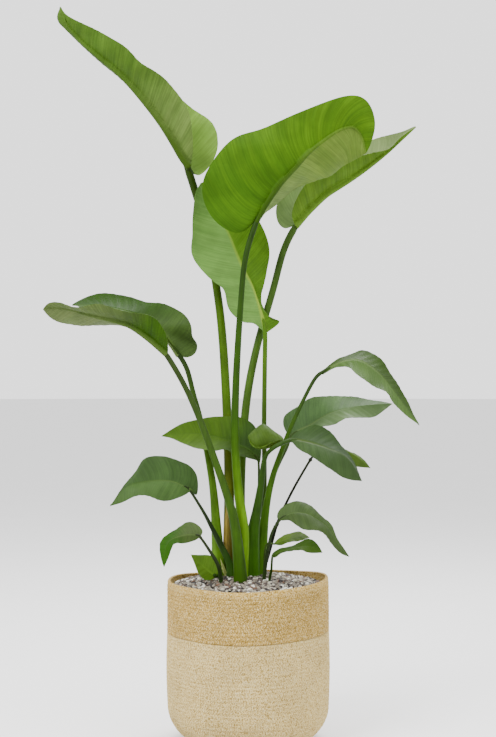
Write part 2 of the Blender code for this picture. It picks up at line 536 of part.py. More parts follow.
def stones_profile():
    """A domed layer over the soil and the pot's rim, up to the basket's wall."""
    edge = BASKET_RADIUS - BASKET_WALL - GAP
    low = POT_RIM_HEIGHT + GAP
    dome = [(edge * share / 5, stones_height(edge * share / 5)) for share in range(6)]
    return [*dome, (edge, low), (0, low)]


def cut_hole(target, name, place, radius, bottom, top, cutters):
    """Cuts an upright round hole in the target."""
    mesh = bpy.data.meshes.new(name)
    round_cutter = bmesh.new()
    depth = top - bottom
    size = {"radius1": radius, "radius2": radius, "depth": depth}
    bmesh.ops.create_cone(round_cutter, cap_ends=True, segments=12, **size)
    round_cutter.to_mesh(mesh)
    round_cutter.free()
    cutter = bpy.data.objects.new(name, mesh)
    cutters.objects.link(cutter)
    cutter.location = (*place, (top + bottom) / 2)
    cutter.hide_render = True
    cutter.display_type = "WIRE"
    hole = target.modifiers.new(name, "BOOLEAN")
    hole.operation = "DIFFERENCE"
    hole.object = cutter


def build():
    """Clears the scene and models every piece."""
    for old in list(bpy.data.objects):
        bpy.data.objects.remove(old)
    plant = bpy.data.collections.new("potted_bird_of_paradise")
    cutters = bpy.data.collections.new("cutters")
    bpy.context.scene.collection.children.link(plant)
    bpy.context.scene.collection.children.link(cutters)

    turned("basket", basket_profile(), plant, (0.55, 0.41, 0.24), 0.9)
    pot = turned("nursery_pot", pot_profile(), plant, (0.03, 0.03, 0.03), 0.5)
    for i in range(DRAIN_COUNT):
        angle = 2 * math.pi * i / DRAIN_COUNT
        place = (DRAIN_RING * math.cos(angle), DRAIN_RING * math.sin(angle))
        cut_hole(pot, f"drain_{i + 1}", place, DRAIN_RADIUS, 0.0, POT_FOOT_HEIGHT + 0.01, cutters)
    turned("soil", soil_profile(), plant, (0.07, 0.045, 0.03), 1.0)
    stones = turned("stone_layer", stones_profile(), plant, (0.32, 0.29, 0.27), 0.95)

    for name, leaf in LEAVES.items():
        blade(f"{name}_leaf", leaf, plant, (0.09, 0.24, 0.03))
        if "stem" not in leaf:
            continue
        stem(f"{name}_stem", leaf, plant, (0.11, 0.25, 0.03))
        foot_x, foot_y, _ = leaf["stem"][0]
        low = foot_height(foot_x, foot_y) - GAP
        socket = leaf["radius"][0] * SOCKET_EASE + GAP
        cut_hole(stones, f"{name}_socket", (foot_x, foot_y), socket, low, BASKET_HEIGHT + 0.05, cutters)
    blade("brown_scale", SCALES["brown_scale"], plant, (0.20, 0.11, 0.02))
    blade("pale_scale", SCALES["pale_scale"], plant, (0.30, 0.36, 0.14))


build()
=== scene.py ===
import math
import random

import bmesh
import bpy
import numpy as np
from mathutils import Matrix, Vector


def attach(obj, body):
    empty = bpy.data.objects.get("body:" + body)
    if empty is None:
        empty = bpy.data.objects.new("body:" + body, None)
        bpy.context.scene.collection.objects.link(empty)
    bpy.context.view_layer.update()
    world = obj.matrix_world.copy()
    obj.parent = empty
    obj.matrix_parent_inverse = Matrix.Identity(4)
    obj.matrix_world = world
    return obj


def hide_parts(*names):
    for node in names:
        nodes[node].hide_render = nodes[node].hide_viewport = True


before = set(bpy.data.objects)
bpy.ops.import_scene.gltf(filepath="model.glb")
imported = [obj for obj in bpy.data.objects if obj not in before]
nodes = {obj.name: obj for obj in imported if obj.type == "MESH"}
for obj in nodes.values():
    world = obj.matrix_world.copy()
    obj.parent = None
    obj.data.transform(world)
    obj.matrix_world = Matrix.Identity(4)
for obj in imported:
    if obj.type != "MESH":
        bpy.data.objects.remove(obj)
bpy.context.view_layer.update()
rng = random.Random(7)


def deselectAll():
    if bpy.context.object and bpy.context.object.mode != "OBJECT":
        bpy.ops.object.mode_set(mode="OBJECT")
    bpy.ops.object.select_all(action="DESELECT")


def makeActive(piece):
    deselectAll()
    piece.select_set(True)
    bpy.context.view_layer.objects.active = piece


def applyAll(piece):  # applies every modifier, top to bottom
    makeActive(piece)
    for modifier in list(piece.modifiers):
        bpy.ops.object.modifier_apply(modifier=modifier.name)


def closeUp(piece, distance=0.00003, turnOut=True):  # merges seams and poles, and may turn the faces outwards
    makeActive(piece)
    bpy.ops.object.mode_set(mode="EDIT")
    bpy.ops.mesh.select_all(action="SELECT")
    bpy.ops.mesh.remove_doubles(threshold=distance)
    if turnOut:
        bpy.ops.mesh.normals_make_consistent(inside=False)
    bpy.ops.object.mode_set(mode="OBJECT")


def addGrid(name, across, along, place):  # a fine sheet whose points go where place(u, v) puts them
    deselectAll()
    bpy.ops.mesh.primitive_grid_add(x_subdivisions=across, y_subdivisions=along, size=1, calc_uvs=True)
    sheet = bpy.context.object
    sheet.name = name
    flat = np.empty(len(sheet.data.vertices) * 3)
    sheet.data.vertices.foreach_get("co", flat)
    flat = flat.reshape(-1, 3)
    points = place(flat[:, 0] + 0.5, flat[:, 1] + 0.5)
    sheet.data.vertices.foreach_set("co", points.ravel())
    sheet.data.update()
    return sheet


def setUv(sheet, u, v):  # gives each point of a sheet its own place in the UV map
    corners = np.empty(len(sheet.data.loops), dtype=np.int32)
    sheet.data.loops.foreach_get("vertex_index", corners)
    pairs = np.stack([u[corners], v[corners]], axis=1)
    sheet.data.uv_layers.active.data.foreach_set("uv", pairs.ravel().astype(np.float32))


def setShade(piece, name, values):  # a number at every point, which a material reads
    made = piece.data.attributes.new(name, "FLOAT", "POINT")
    made.data.foreach_set("value", np.asarray(values, dtype=np.float32))


def unit(vectors):
    lengths = np.linalg.norm(vectors, axis=-1, keepdims=True)
    return vectors / np.maximum(lengths, 1e-9)


def routeLength(route):
    return np.linalg.norm(np.diff(route, axis=0), axis=1).sum()


def smoothRoute(points, count, passes=0):  # even steps along a smooth curve through the points
    knots = np.array(points, dtype=float)
    knots = np.vstack([2 * knots[0] - knots[1], knots, 2 * knots[-1] - knots[-2]])
    u = np.linspace(0, 1, 13)[:-1, None]
    runs = []
    for a, b, c, d in zip(knots, knots[1:], knots[2:], knots[3:]):
        bend = (2 * a - 5 * b + 4 * c - d) * u**2
        runs.append(0.5 * (2 * b + (c - a) * u + bend + (3 * b - a - 3 * c + d) * u**3))
    fine = np.vstack([*runs, knots[-2]])
    steps = np.linalg.norm(np.diff(fine, axis=0), axis=1)
    lengths = np.concatenate([[0], np.cumsum(steps)])
    wanted = np.linspace(0, lengths[-1], count)
    route = np.stack([np.interp(wanted, lengths, fine[:, k]) for k in range(3)], axis=1)
    for _ in range(passes):
        route[1:-1] = (route[:-2] + 2 * route[1:-1] + route[2:]) / 4
    return route


def finishPiece(piece, slot, *replaced):  # hangs the piece on the root body and hides the model's parts that it replaces
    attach(piece, "root")
    if replaced:
        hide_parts(*replaced)


look = {
    "colourBoost": 1.35,  # how much purer the tones of basket, stones and soil are made
    "brightness": 0.46,
    "greenBrightness": 0.35,  # of the blades
    "stemBrightness": 0.27,
    "greenBlue": 0.55,  # how much of a green's blue is kept
    "greenRed": 0.90,
    "least": 0.002,  # the least red, green or blue of a tone
}


def linearColour(red, green, blue):  # 0 to 255 as a screen shows it, to linear
    shares = [value / 255 for value in (red, green, blue)]
    return [value / 12.92 if value <= 0.04045 else ((value + 0.055) / 1.055) ** 2.4 for value in shares]


def tint(red, green, blue):
    colour = linearColour(red, green, blue)
    grey = sum(colour) / 3
    purer = [max(grey + (value - grey) * look["colourBoost"], look["least"]) for value in colour]
    return (*[value * look["brightness"] for value in purer], 1.0)


def greenTint(red, green, blue, brightness=look["greenBrightness"]):  # living tissue holds little blue
    red, green, blue = linearColour(red, green, blue)
    kept = (red * look["greenRed"], green, max(blue * look["greenBlue"], look["least"]))
    return (*[value * brightness for value in kept], 1.0)


def startMaterial(name):
    made = bpy.data.materials.new(name)
    made.use_nodes = True
    return made, made.node_tree, made.node_tree.nodes["Principled BSDF"]


def addNode(tree, kind, **values):
    node = tree.nodes.new(kind)
    for key, value in values.items():
        setattr(node, key, value)
    return node


def feed(tree, value, slot):  # sets a slot to a number or colour, or links another node's output to it
    if isinstance(value, (int, float, tuple)):
        slot.default_value = value
    else:
        tree.links.new(value, slot)


def math2(tree, operation, a, b=None):  # a maths node of one or two values
    node = addNode(tree, "ShaderNodeMath", operation=operation)
    feed(tree, a, node.inputs[0])
    if b is not None:
        feed(tree, b, node.inputs[1])
    return node.outputs[0]


def mixColour(tree, factor, a, b, blend="MIX"):
    node = addNode(tree, "ShaderNodeMix", data_type="RGBA", blend_type=blend)
    for slot, value in ((node.inputs[0], factor), (node.inputs[6], a), (node.inputs[7], b)):
        feed(tree, value, slot)
    return node.outputs[2]


def multiplied(tree, colour, amount):  # a colour made lighter or darker by a number
    grey = addNode(tree, "ShaderNodeCombineColor")
    for slot in grey.inputs[:3]:
        tree.links.new(amount, slot)
    return mixColour(tree, 1.0, colour, grey.outputs[0], "MULTIPLY")


def softRange(tree, value, low, high, start=0.0, stop=1.0):
    node = addNode(tree, "ShaderNodeMapRange", interpolation_type="SMOOTHSTEP")
    tree.links.new(value, node.inputs[0])
    for slot, number in zip(node.inputs[1:5], (low, high, start, stop)):
        slot.default_value = number
    return node.outputs[0]


def uvPlace(tree):  # the two parts of a point's place in the UV map
    split = addNode(tree, "ShaderNodeSeparateXYZ")
    tree.links.new(addNode(tree, "ShaderNodeUVMap").outputs[0], split.inputs[0])
    return split.outputs[0], split.outputs[1]


def objectPlace(tree):
    return addNode(tree, "ShaderNodeTexCoord").outputs["Object"]


def pointShade(tree, name):  # the number that setShade gave to each point
    return addNode(tree, "ShaderNodeAttribute", attribute_name=name).outputs["Fac"]


def noise(tree, vector, scale, detail=3.0, rough=0.55):
    node = addNode(tree, "ShaderNodeTexNoise")
    tree.links.new(vector, node.inputs["Vector"])
    node.inputs["Scale"].default_value = scale
    node.inputs["Detail"].default_value = detail
    node.inputs["Roughness"].default_value = rough
    return node.outputs[0]


def fibreNoise(tree, perMetre, detail=3.0, rough=0.55):  # noise drawn out into fibres that run upwards
    squeezed = addNode(tree, "ShaderNodeMapping")
    squeezed.inputs["Scale"].default_value = perMetre
    tree.links.new(objectPlace(tree), squeezed.inputs[0])
    return noise(tree, squeezed.outputs[0], 1.0, detail, rough)


def setSurface(tree, shader, colour, roughness, specular=0.5):
    tree.links.new(colour, shader.inputs["Base Color"])
    feed(tree, roughness, shader.inputs["Roughness"])
    shader.inputs["Specular IOR Level"].default_value = specular


def bump(tree, shader, height, strength, distance):
    node = addNode(tree, "ShaderNodeBump")
    node.inputs["Strength"].default_value = strength
    node.inputs["Distance"].default_value = distance
    tree.links.new(height, node.inputs["Height"])
    tree.links.new(node.outputs[0], shader.inputs["Normal"])


veins = {
    "slant": 0.65,  # how far a side vein moves towards the tip for each metre away from the midrib
    "fine": (420, 14),  # fine veins per metre along the blade, and how often they change across it
    "broad": (60, 7),  # the same for the soft bands
    "fineShade": 0.10,  # how much lighter and darker the fine veins are
    "darkBand": (0.72, 0.78, 0.66, 1.0),
    "lightBand": (1.16, 1.10, 1.18, 1.0),
    "seam": 0.004,  # half the width over which the tone changes at the midrib
    "tipRange": (0.22, 0.60),  # where the tip's tone begins and is full, as shares of the length
    "seeThrough": 0.20,
    "throughLight": (1.3, 1.5, 0.5, 1.0),
}


def leafFinish(name, tones, tipTones, ribTone, roughness, banding):  # satin blade with slanting side veins
    made, tree, shader = startMaterial(name)
    u, v = uvPlace(tree)
    aside = math2(tree, "SUBTRACT", u, 0.5)
    slant = math2(tree, "MULTIPLY", math2(tree, "ABSOLUTE", aside), veins["slant"])
    along = math2(tree, "SUBTRACT", v, slant)
    streaks = []
    for perMetre, stretch in (veins["fine"], veins["broad"]):
        joined = addNode(tree, "ShaderNodeCombineXYZ")
        tree.links.new(math2(tree, "MULTIPLY", along, perMetre), joined.inputs[0])
        tree.links.new(math2(tree, "MULTIPLY", aside, stretch), joined.inputs[1])
        streaks.append(noise(tree, joined.outputs[0], 1.0, 2.0))
    fine, broad = streaks
    side = softRange(tree, aside, -veins["seam"], veins["seam"])
    tipShare = softRange(tree, pointShade(tree, "far"), *veins["tipRange"])
    # the half and tip tones mixed here are partly painted light: brighter and purer where light shines
    # through, paler and greyer where the sky is reflected
    base = mixColour(tree, tipShare, mixColour(tree, side, *tones), mixColour(tree, side, *tipTones))
    dark = mixColour(tree, 1.0, base, veins["darkBand"], "MULTIPLY")
    light = mixColour(tree, 1.0, base, veins["lightBand"], "MULTIPLY")
    banded = mixColour(tree, softRange(tree, broad, 0.36, 0.66), dark, light)
    base = mixColour(tree, banding, base, banded)
    darkest, lightest = 1 - veins["fineShade"] - banding / 8, 1 + veins["fineShade"]
    base = multiplied(tree, base, softRange(tree, fine, 0.35, 0.68, darkest, lightest))
    patches = noise(tree, objectPlace(tree), 22.0)
    base = multiplied(tree, base, softRange(tree, patches, 0.35, 0.70, 0.88, 1.10))
    base = mixColour(tree, pointShade(tree, "rib"), base, ribTone)
    satin = softRange(tree, broad, 0.3, 0.7, roughness - 0.05, roughness + 0.08)
    setSurface(tree, shader, base, satin, 0.08)
    bump(tree, shader, fine, 0.04, 0.0006)
    glow = addNode(tree, "ShaderNodeBsdfTranslucent")
    tree.links.new(mixColour(tree, 1.0, base, veins["throughLight"], "MULTIPLY"), glow.inputs["Color"])
    both = addNode(tree, "ShaderNodeMixShader")
    both.inputs[0].default_value = veins["seeThrough"]
    tree.links.new(shader.outputs[0], both.inputs[1])
    tree.links.new(glow.outputs[0], both.inputs[2])
    tree.links.new(both.outputs[0], tree.nodes["Material Output"].inputs[0])
    return made


stalk = {
    "fibres": (260, 260, 7),  # per metre, across and along
    "drySheath": (124, 100, 34),
    "roughness": 0.52,
    "specular": 0.07,
}


def stemFinish(name, footTone, middleTone, topTone):  # smooth stalk with three tones from foot to blade, the foot's partly painted light
    made, tree, shader = startMaterial(name)
    _, height = uvPlace(tree)
    # the foot tone is painted brighter against the shade of the stems round it, and on the centre stem it is
    # a painted yellow highlight
    lower = softRange(tree, height, 0.05, 0.45)
    upper = softRange(tree, height, 0.45, 0.95)
    base = mixColour(tree, upper, mixColour(tree, lower, footTone, middleTone), topTone)
    fibres = fibreNoise(tree, stalk["fibres"])
    patches = noise(tree, objectPlace(tree), 30.0)
    shade = math2(tree, "MULTIPLY", softRange(tree, fibres, 0.3, 0.7, 0.86, 1.10),
                  softRange(tree, patches, 0.3, 0.7, 0.86, 1.12))
    base = multiplied(tree, base, shade)
    ragged = softRange(tree, fibres, 0.25, 0.55, 0.45, 1.0)
    dry = math2(tree, "MULTIPLY", pointShade(tree, "dry"), ragged)
    base = mixColour(tree, dry, base, greenTint(*stalk["drySheath"]))
    setSurface(tree, shader, base, stalk["roughness"], stalk["specular"])
    bump(tree, shader, fibres, 0.2, 0.0006)
    return made


# Each stem runs from its foot to its blade, with its radius at both ends. Each blade is a midrib and two
# margins, from base to tip. "face" is roughly where the upper side looks, and "camber" how far each half
# sags. "upper" and "under" are the tones of the left and right half, "upperTip" and "underTip" those near
# the tip where they differ, "rib" the midrib's tone, and "stalk" the stem's from foot to top. The blade
# tones are the leaf's own green with painted light in them: a half or tip that light shines through is
# painted brighter and purer, and a half or tip that catches the pale sky's reflection is painted paler
# and greyer. The stalk tones hold painted light too: some feet are painted brighter against the shade of
# the stems round them, and the centre stem's yellow foot is a painted highlight. "flare" is how
# much wider a foot is, as a share of its radius. "collars" are swellings: where along the stem, and how
# large. "dry" gives the stretches of dry sheath: start, stop and strength. The cupped blade has no stem of
# its own, because it grows from the bend of mid_right's stem. Its radius only sets its midrib.
leaves = {
    "top_left": {
        "stem": [(-0.036, 0.028, 0), (-0.036, 0.042, 0.448), (-0.039, 0.062, 0.581),
                 (-0.049, 0.084, 0.755), (-0.062, 0.092, 0.863), (-0.084, 0.08, 0.979),
                 (-0.111, 0.047, 1.089)],
        "radius": (0.01, 0.0075),
        "midrib": [(-0.111, 0.045, 1.088), (-0.141, 0.035, 1.139), (-0.171, 0.025, 1.182),
                   (-0.212, 0.01, 1.23), (-0.247, 0, 1.264), (-0.276, -0.01, 1.285),
                   (-0.314, -0.02, 1.317), (-0.337, -0.03, 1.344), (-0.348, -0.035, 1.373)],
        "left": [(-0.105, 0.03, 1.117), (-0.107, 0, 1.169), (-0.118, -0.01, 1.193),
                 (-0.148, -0.02, 1.236), (-0.175, -0.03, 1.256), (-0.205, -0.035, 1.272),
                 (-0.234, -0.04, 1.303), (-0.278, -0.045, 1.326), (-0.332, -0.045, 1.352)],
        "right": [(-0.095, 0.06, 1.071), (-0.068, 0.08, 1.103), (-0.059, 0.095, 1.142),
                  (-0.072, 0.1, 1.184), (-0.114, 0.105, 1.215), (-0.162, 0.095, 1.248),
                  (-0.219, 0.075, 1.287), (-0.275, 0.05, 1.32), (-0.328, 0, 1.331),
                  (-0.357, -0.025, 1.351)],
        "face": (0.6, 0.5, 0.55),
        "camber": (0.1, 0.25),
        "upper": [(180, 222, 124), (180, 224, 120)],
        "under": [(144, 170, 108), (156, 194, 108)],
        "rib": (84, 114, 36),
        "underTip": [(112, 150, 64), (116, 150, 74)],
        "stalk": [(100, 132, 24), (96, 134, 14), (66, 94, 20)],
        "flare": 0.35,
        "dry": [(0.0, 0.13, 0.9), (0.10, 0.38, 0.4)],
    },
    "centre": {
        "stem": [(-0.013, -0.024, 0), (-0.008, -0.035, 0.396), (-0.018, -0.04, 0.472),
                 (-0.024, -0.05, 0.566), (-0.022, -0.052, 0.679), (-0.013, -0.055, 0.826),
                 (-0.004, -0.058, 0.909), (0.012, -0.061, 0.97)],
        "radius": (0.01, 0.0052),
        "midrib": [(0.013, -0.055, 0.972), (0.028, -0.06, 0.999), (0.057, -0.07, 1.039),
                   (0.084, -0.078, 1.067), (0.11, -0.083, 1.095), (0.141, -0.085, 1.119),
                   (0.168, -0.085, 1.136), (0.192, -0.08, 1.142), (0.209, -0.072, 1.125),
                   (0.217, -0.065, 1.096)],
        "left": [(-0.018, -0.052, 0.949), (-0.063, -0.048, 0.975), (-0.085, -0.052, 1.023),
                 (-0.074, -0.062, 1.067), (-0.029, -0.075, 1.12), (0.026, -0.082, 1.138),
                 (0.095, -0.09, 1.167), (0.175, -0.09, 1.196), (0.215, -0.085, 1.192),
                 (0.233, -0.075, 1.152), (0.226, -0.068, 1.114)],
        "right": [(0.019, -0.045, 0.973), (0.041, -0.01, 1), (0.066, 0, 1.021), (0.091, 0.005, 1.039),
                  (0.119, 0, 1.054), (0.152, -0.01, 1.059), (0.18, -0.02, 1.081),
                  (0.204, -0.045, 1.09)],
        "face": (-0.4, 0.84, 0.34),
        "camber": (0.05, 0.1),
        "upper": [(95, 125, 40), (110, 140, 60)],
        "under": [(90, 138, 2), (164, 190, 128)],
        "underTip": [(106, 154, 8), (156, 186, 96)],
        "rib": (70, 104, 14),
        "stalk": [(156, 214, 12), (68, 108, 6), (52, 84, 12)],
        "flare": 0.3,
    },
    "middle": {
        "stem": [(0.023, 0.052, 0), (0.031, 0.05, 0.447), (0.031, 0.05, 0.597), (0.032, 0.047, 0.697),
                 (0.036, 0.047, 0.768)],
        "radius": (0.005, 0.0045),
        "midrib": [(0.035, 0.045, 0.768), (0.023, 0.04, 0.818), (0.011, 0.04, 0.856),
                   (-0.002, 0.04, 0.879), (-0.014, 0.042, 0.902), (-0.027, 0.045, 0.933),
                   (-0.036, 0.047, 0.956), (-0.058, 0.05, 0.997), (-0.077, 0.045, 1.031),
                   (-0.09, 0.035, 1.054)],
        "left": [(0.023, 0.045, 0.776), (0.011, 0.04, 0.787), (-0.011, 0.035, 0.789),
                 (-0.036, 0.03, 0.812), (-0.045, 0.025, 0.849), (-0.065, 0.02, 0.864),
                 (-0.091, 0.015, 0.891), (-0.107, 0.015, 0.921), (-0.106, 0.02, 0.954),
                 (-0.104, 0.025, 0.996), (-0.099, 0.03, 1.037)],
        "right": [(0.046, 0.05, 0.776), (0.064, 0.06, 0.792), (0.046, 0.05, 0.795),
                  (0.031, 0.05, 0.816), (0.025, 0.06, 0.844), (0.035, 0.06, 0.88), (0.042, 0.055, 0.92),
                  (0.035, 0.05, 0.955), (0.013, 0.05, 0.995), (-0.025, 0.05, 1.033),
                  (-0.069, 0.04, 1.059)],
        "face": (0, -1, 0.1),
        "camber": (0.06, 0.06),
        "upper": [(142, 190, 116), (110, 156, 34)],
        "under": [(120, 150, 90), (110, 140, 70)],
        "rib": (190, 218, 96),
        "stalk": [(78, 108, 36), (84, 116, 40), (104, 146, 40)],
    },
    "top_right": {
        "stem": [(-0.013, 0.034, 0), (-0.015, 0.04, 0.448), (-0.01, 0.052, 0.563),
                 (0, 0.062, 0.659), (0.02, 0.075, 0.755), (0.048, 0.078, 0.852),
                 (0.07, 0.078, 0.934), (0.088, 0.074, 0.98)],
        "radius": (0.0095, 0.0072),
        "midrib": [(0.089, 0.07, 0.98), (0.106, 0.07, 1), (0.123, 0.07, 1.017), (0.148, 0.068, 1.039),
                   (0.176, 0.065, 1.056), (0.204, 0.06, 1.073), (0.232, 0.055, 1.092),
                   (0.265, 0.05, 1.117), (0.292, 0.045, 1.14), (0.32, 0.04, 1.164)],
        "left": [(0.085, 0.05, 0.997), (0.094, 0.035, 1.03), (0.122, 0.03, 1.063), (0.166, 0.03, 1.086),
                 (0.198, 0.03, 1.1), (0.237, 0.035, 1.112), (0.272, 0.04, 1.124), (0.299, 0.04, 1.147)],
        "right": [(0.072, 0.08, 0.971), (0.056, 0.095, 0.99), (0.057, 0.11, 1.021),
                  (0.083, 0.125, 1.062), (0.133, 0.135, 1.103), (0.192, 0.13, 1.132),
                  (0.244, 0.115, 1.15), (0.272, 0.095, 1.154), (0.298, 0.065, 1.159)],
        "face": (-0.5, -0.1, 0.85),
        "camber": (0.1, 0.15),
        "upper": [(134, 158, 104), (134, 162, 112)],
        "under": [(124, 164, 58), (124, 158, 74)],
        "upperTip": [(178, 192, 164), (168, 188, 152)],
        "stalk": [(100, 142, 16), (88, 124, 40), (84, 116, 48)],
        "flare": 0.35,
    },
    "left_front": {
        "stem": [(-0.014, -0.05, 0), (-0.022, -0.058, 0.398), (-0.035, -0.066, 0.456),
                 (-0.062, -0.076, 0.536), (-0.09, -0.082, 0.612), (-0.119, -0.085, 0.675),
                 (-0.146, -0.087, 0.728)],
        "radius": (0.0095, 0.005),
        "midrib": [(-0.146, -0.085, 0.728), (-0.179, -0.09, 0.756), (-0.211, -0.09, 0.778),
                   (-0.235, -0.09, 0.787), (-0.268, -0.09, 0.794), (-0.293, -0.088, 0.8),
                   (-0.325, -0.085, 0.809), (-0.353, -0.08, 0.811), (-0.375, -0.078, 0.809)],
        "left": [(-0.145, -0.1, 0.741), (-0.148, -0.115, 0.764), (-0.167, -0.12, 0.79),
                 (-0.208, -0.125, 0.802), (-0.232, -0.125, 0.806), (-0.264, -0.125, 0.815),
                 (-0.29, -0.12, 0.813), (-0.318, -0.11, 0.813), (-0.345, -0.1, 0.82),
                 (-0.364, -0.09, 0.819)],
        "right": [(-0.156, -0.07, 0.734), (-0.191, -0.045, 0.763), (-0.219, -0.04, 0.777),
                  (-0.24, -0.04, 0.779), (-0.286, -0.04, 0.781), (-0.334, -0.045, 0.781),
                  (-0.359, -0.06, 0.791), (-0.371, -0.07, 0.802)],
        "face": (0, 0.5, 0.85),
        "camber": (0.08, 0.05),
        "upper": [(100, 130, 60), (90, 120, 50)],
        "under": [(72, 112, 10), (120, 146, 84)],
        "rib": (104, 130, 66),
        "underTip": [(136, 156, 108), (156, 172, 132)],
        "stalk": [(75, 116, 16), (80, 114, 36), (70, 90, 48)],
        "flare": 0.38,
    },
    "left_back": {
        "stem": [(-0.055, 0.006, 0), (-0.06, 0.024, 0.393), (-0.069, 0.05, 0.486),
                 (-0.09, 0.052, 0.595), (-0.104, 0.044, 0.649), (-0.117, 0.034, 0.701),
                 (-0.128, 0.022, 0.726)],
        "radius": (0.0095, 0.0048),
        "midrib": [(-0.129, 0.02, 0.726), (-0.144, 0.02, 0.748), (-0.168, 0.025, 0.777),
                   (-0.201, 0.035, 0.8), (-0.245, 0.04, 0.814), (-0.293, 0.045, 0.822),
                   (-0.338, 0.05, 0.823)],
        "left": [(-0.118, 0.03, 0.72), (-0.1, 0.04, 0.728), (-0.096, 0.035, 0.745),
                 (-0.106, 0.015, 0.76), (-0.106, 0, 0.776), (-0.114, 0.01, 0.795), (-0.13, 0.03, 0.81),
                 (-0.159, 0.05, 0.823), (-0.193, 0.065, 0.828), (-0.225, 0.075, 0.839),
                 (-0.275, 0.08, 0.846), (-0.31, 0.075, 0.84), (-0.33, 0.06, 0.83)],
        "right": [(-0.136, 0, 0.731), (-0.156, -0.015, 0.757), (-0.183, -0.02, 0.78),
                  (-0.221, -0.02, 0.795), (-0.259, -0.015, 0.804), (-0.299, 0.01, 0.813)],
        "face": (0.2, -0.6, 0.75),
        "camber": (0.05, 0.05),
        "upper": [(92, 118, 72), (86, 112, 50)],
        "under": [(150, 165, 130), (110, 135, 80)],
        "upperTip": [(58, 96, 8), (78, 112, 40)],
        "stalk": [(140, 190, 60), (100, 140, 36), (62, 90, 36)],
        "flare": 0.45,
    },
    "mid_left": {
        "stem": [(0.01, 0.023, 0), (0.018, 0.018, 0.393), (0.02, 0.012, 0.451),
                 (0.023, -0.004, 0.522)],
        "radius": (0.0028, 0.0022),
        "midrib": [(0.023, -0.005, 0.524), (0.011, 0, 0.539), (-0.002, 0.005, 0.55),
                   (-0.016, 0.008, 0.555), (-0.03, 0.01, 0.563), (-0.05, 0.01, 0.569),
                   (-0.076, 0.008, 0.575), (-0.11, 0.004, 0.578), (-0.138, 0, 0.576),
                   (-0.163, -0.003, 0.573)],
        "left": [(0.025, 0, 0.546), (0.021, 0.008, 0.574), (0.008, 0.015, 0.597), (-0.017, 0.02, 0.608),
                 (-0.042, 0.022, 0.609), (-0.074, 0.02, 0.608), (-0.101, 0.015, 0.602),
                 (-0.129, 0.01, 0.594), (-0.151, 0, 0.581)],
        "right": [(0.013, -0.01, 0.529), (-0.009, -0.02, 0.536), (-0.03, -0.025, 0.542),
                  (-0.042, -0.027, 0.548), (-0.065, -0.027, 0.548), (-0.098, -0.022, 0.551),
                  (-0.118, -0.015, 0.558), (-0.139, -0.008, 0.568)],
        "face": (0, -0.72, 0.7),
        "camber": (0.04, 0.04),
        "upper": [(66, 100, 38), (84, 114, 56)],
        "under": [(110, 140, 80), (110, 140, 80)],
        "upperTip": [(98, 134, 42), (104, 140, 48)],
        "stalk": [(62, 88, 34), (64, 84, 44), (76, 98, 50)],
        "flare": 0.8,
    },
    "mid_right": {
        "stem": [(0.003, -0.002, 0), (0.01, -0.01, 0.393), (0.019, -0.02, 0.448),
                 (0.026, -0.034, 0.496), (0.031, -0.052, 0.535), (0.042, -0.07, 0.551),
                 (0.057, -0.078, 0.561), (0.074, -0.075, 0.569)],
        "radius": (0.0115, 0.004),
        "midrib": [(0.076, -0.07, 0.571), (0.098, -0.078, 0.569), (0.13, -0.088, 0.561),
                   (0.151, -0.092, 0.553), (0.173, -0.094, 0.544), (0.191, -0.092, 0.526),
                   (0.208, -0.088, 0.495)],
        "left": [(0.088, -0.06, 0.582), (0.119, -0.05, 0.596), (0.142, -0.05, 0.59),
                 (0.164, -0.055, 0.571), (0.181, -0.06, 0.548), (0.195, -0.07, 0.528),
                 (0.203, -0.08, 0.509)],
        "right": [(0.081, -0.078, 0.565), (0.095, -0.095, 0.551), (0.116, -0.11, 0.541),
                  (0.143, -0.125, 0.523), (0.163, -0.12, 0.508), (0.188, -0.105, 0.498)],
        "face": (0.2, -0.6, 0.75),
        "camber": (0.04, -0.04),
        "upper": [(70, 98, 60), (82, 108, 74)],
        "under": [(110, 135, 80), (120, 140, 90)],
        "rib": (98, 118, 74),
        "stalk": [(96, 160, 14), (64, 102, 26), (66, 98, 38)],
        "flare": 0.75,
    },
    "cupped": {
        "radius": (0.004, 0.003),
        "midrib": [(0.065, -0.058, 0.566), (0.044, -0.05, 0.558), (0.026, -0.05, 0.553),
                   (0.011, -0.05, 0.557), (0, -0.045, 0.575)],
        "left": [(0.065, -0.05, 0.573), (0.048, -0.035, 0.584), (0.029, -0.025, 0.598),
                 (0.015, -0.028, 0.589), (0.004, -0.038, 0.58)],
        "right": [(0.059, -0.066, 0.569), (0.04, -0.07, 0.563), (0.024, -0.068, 0.555),
                  (0.007, -0.058, 0.557)],
        "face": (0, -0.5, 0.8),
        "camber": (-0.2, -0.1),
        "upper": [(92, 122, 50), (98, 132, 40)],
        "under": [(98, 130, 55), (110, 140, 60)],
    },
    "right_arch": {
        "stem": [(0.023, 0.014, 0), (0.032, 0.012, 0.419), (0.045, 0.01, 0.489), (0.068, 0.004, 0.556),
                 (0.09, -0.003, 0.611), (0.126, -0.01, 0.682), (0.135, -0.012, 0.69)],
        "radius": (0.0085, 0.0035),
        "midrib": [(0.136, -0.012, 0.692), (0.161, -0.018, 0.707), (0.183, -0.022, 0.716),
                   (0.205, -0.028, 0.717), (0.225, -0.034, 0.707), (0.245, -0.04, 0.69),
                   (0.263, -0.046, 0.668), (0.283, -0.052, 0.64), (0.299, -0.056, 0.618),
                   (0.316, -0.06, 0.596)],
        "left": [(0.147, -0.01, 0.703), (0.165, -0.008, 0.715), (0.185, -0.003, 0.724),
                 (0.204, 0, 0.733), (0.219, 0, 0.736), (0.237, -0.005, 0.727), (0.255, -0.015, 0.71),
                 (0.271, -0.025, 0.687), (0.287, -0.035, 0.656), (0.302, -0.045, 0.627)],
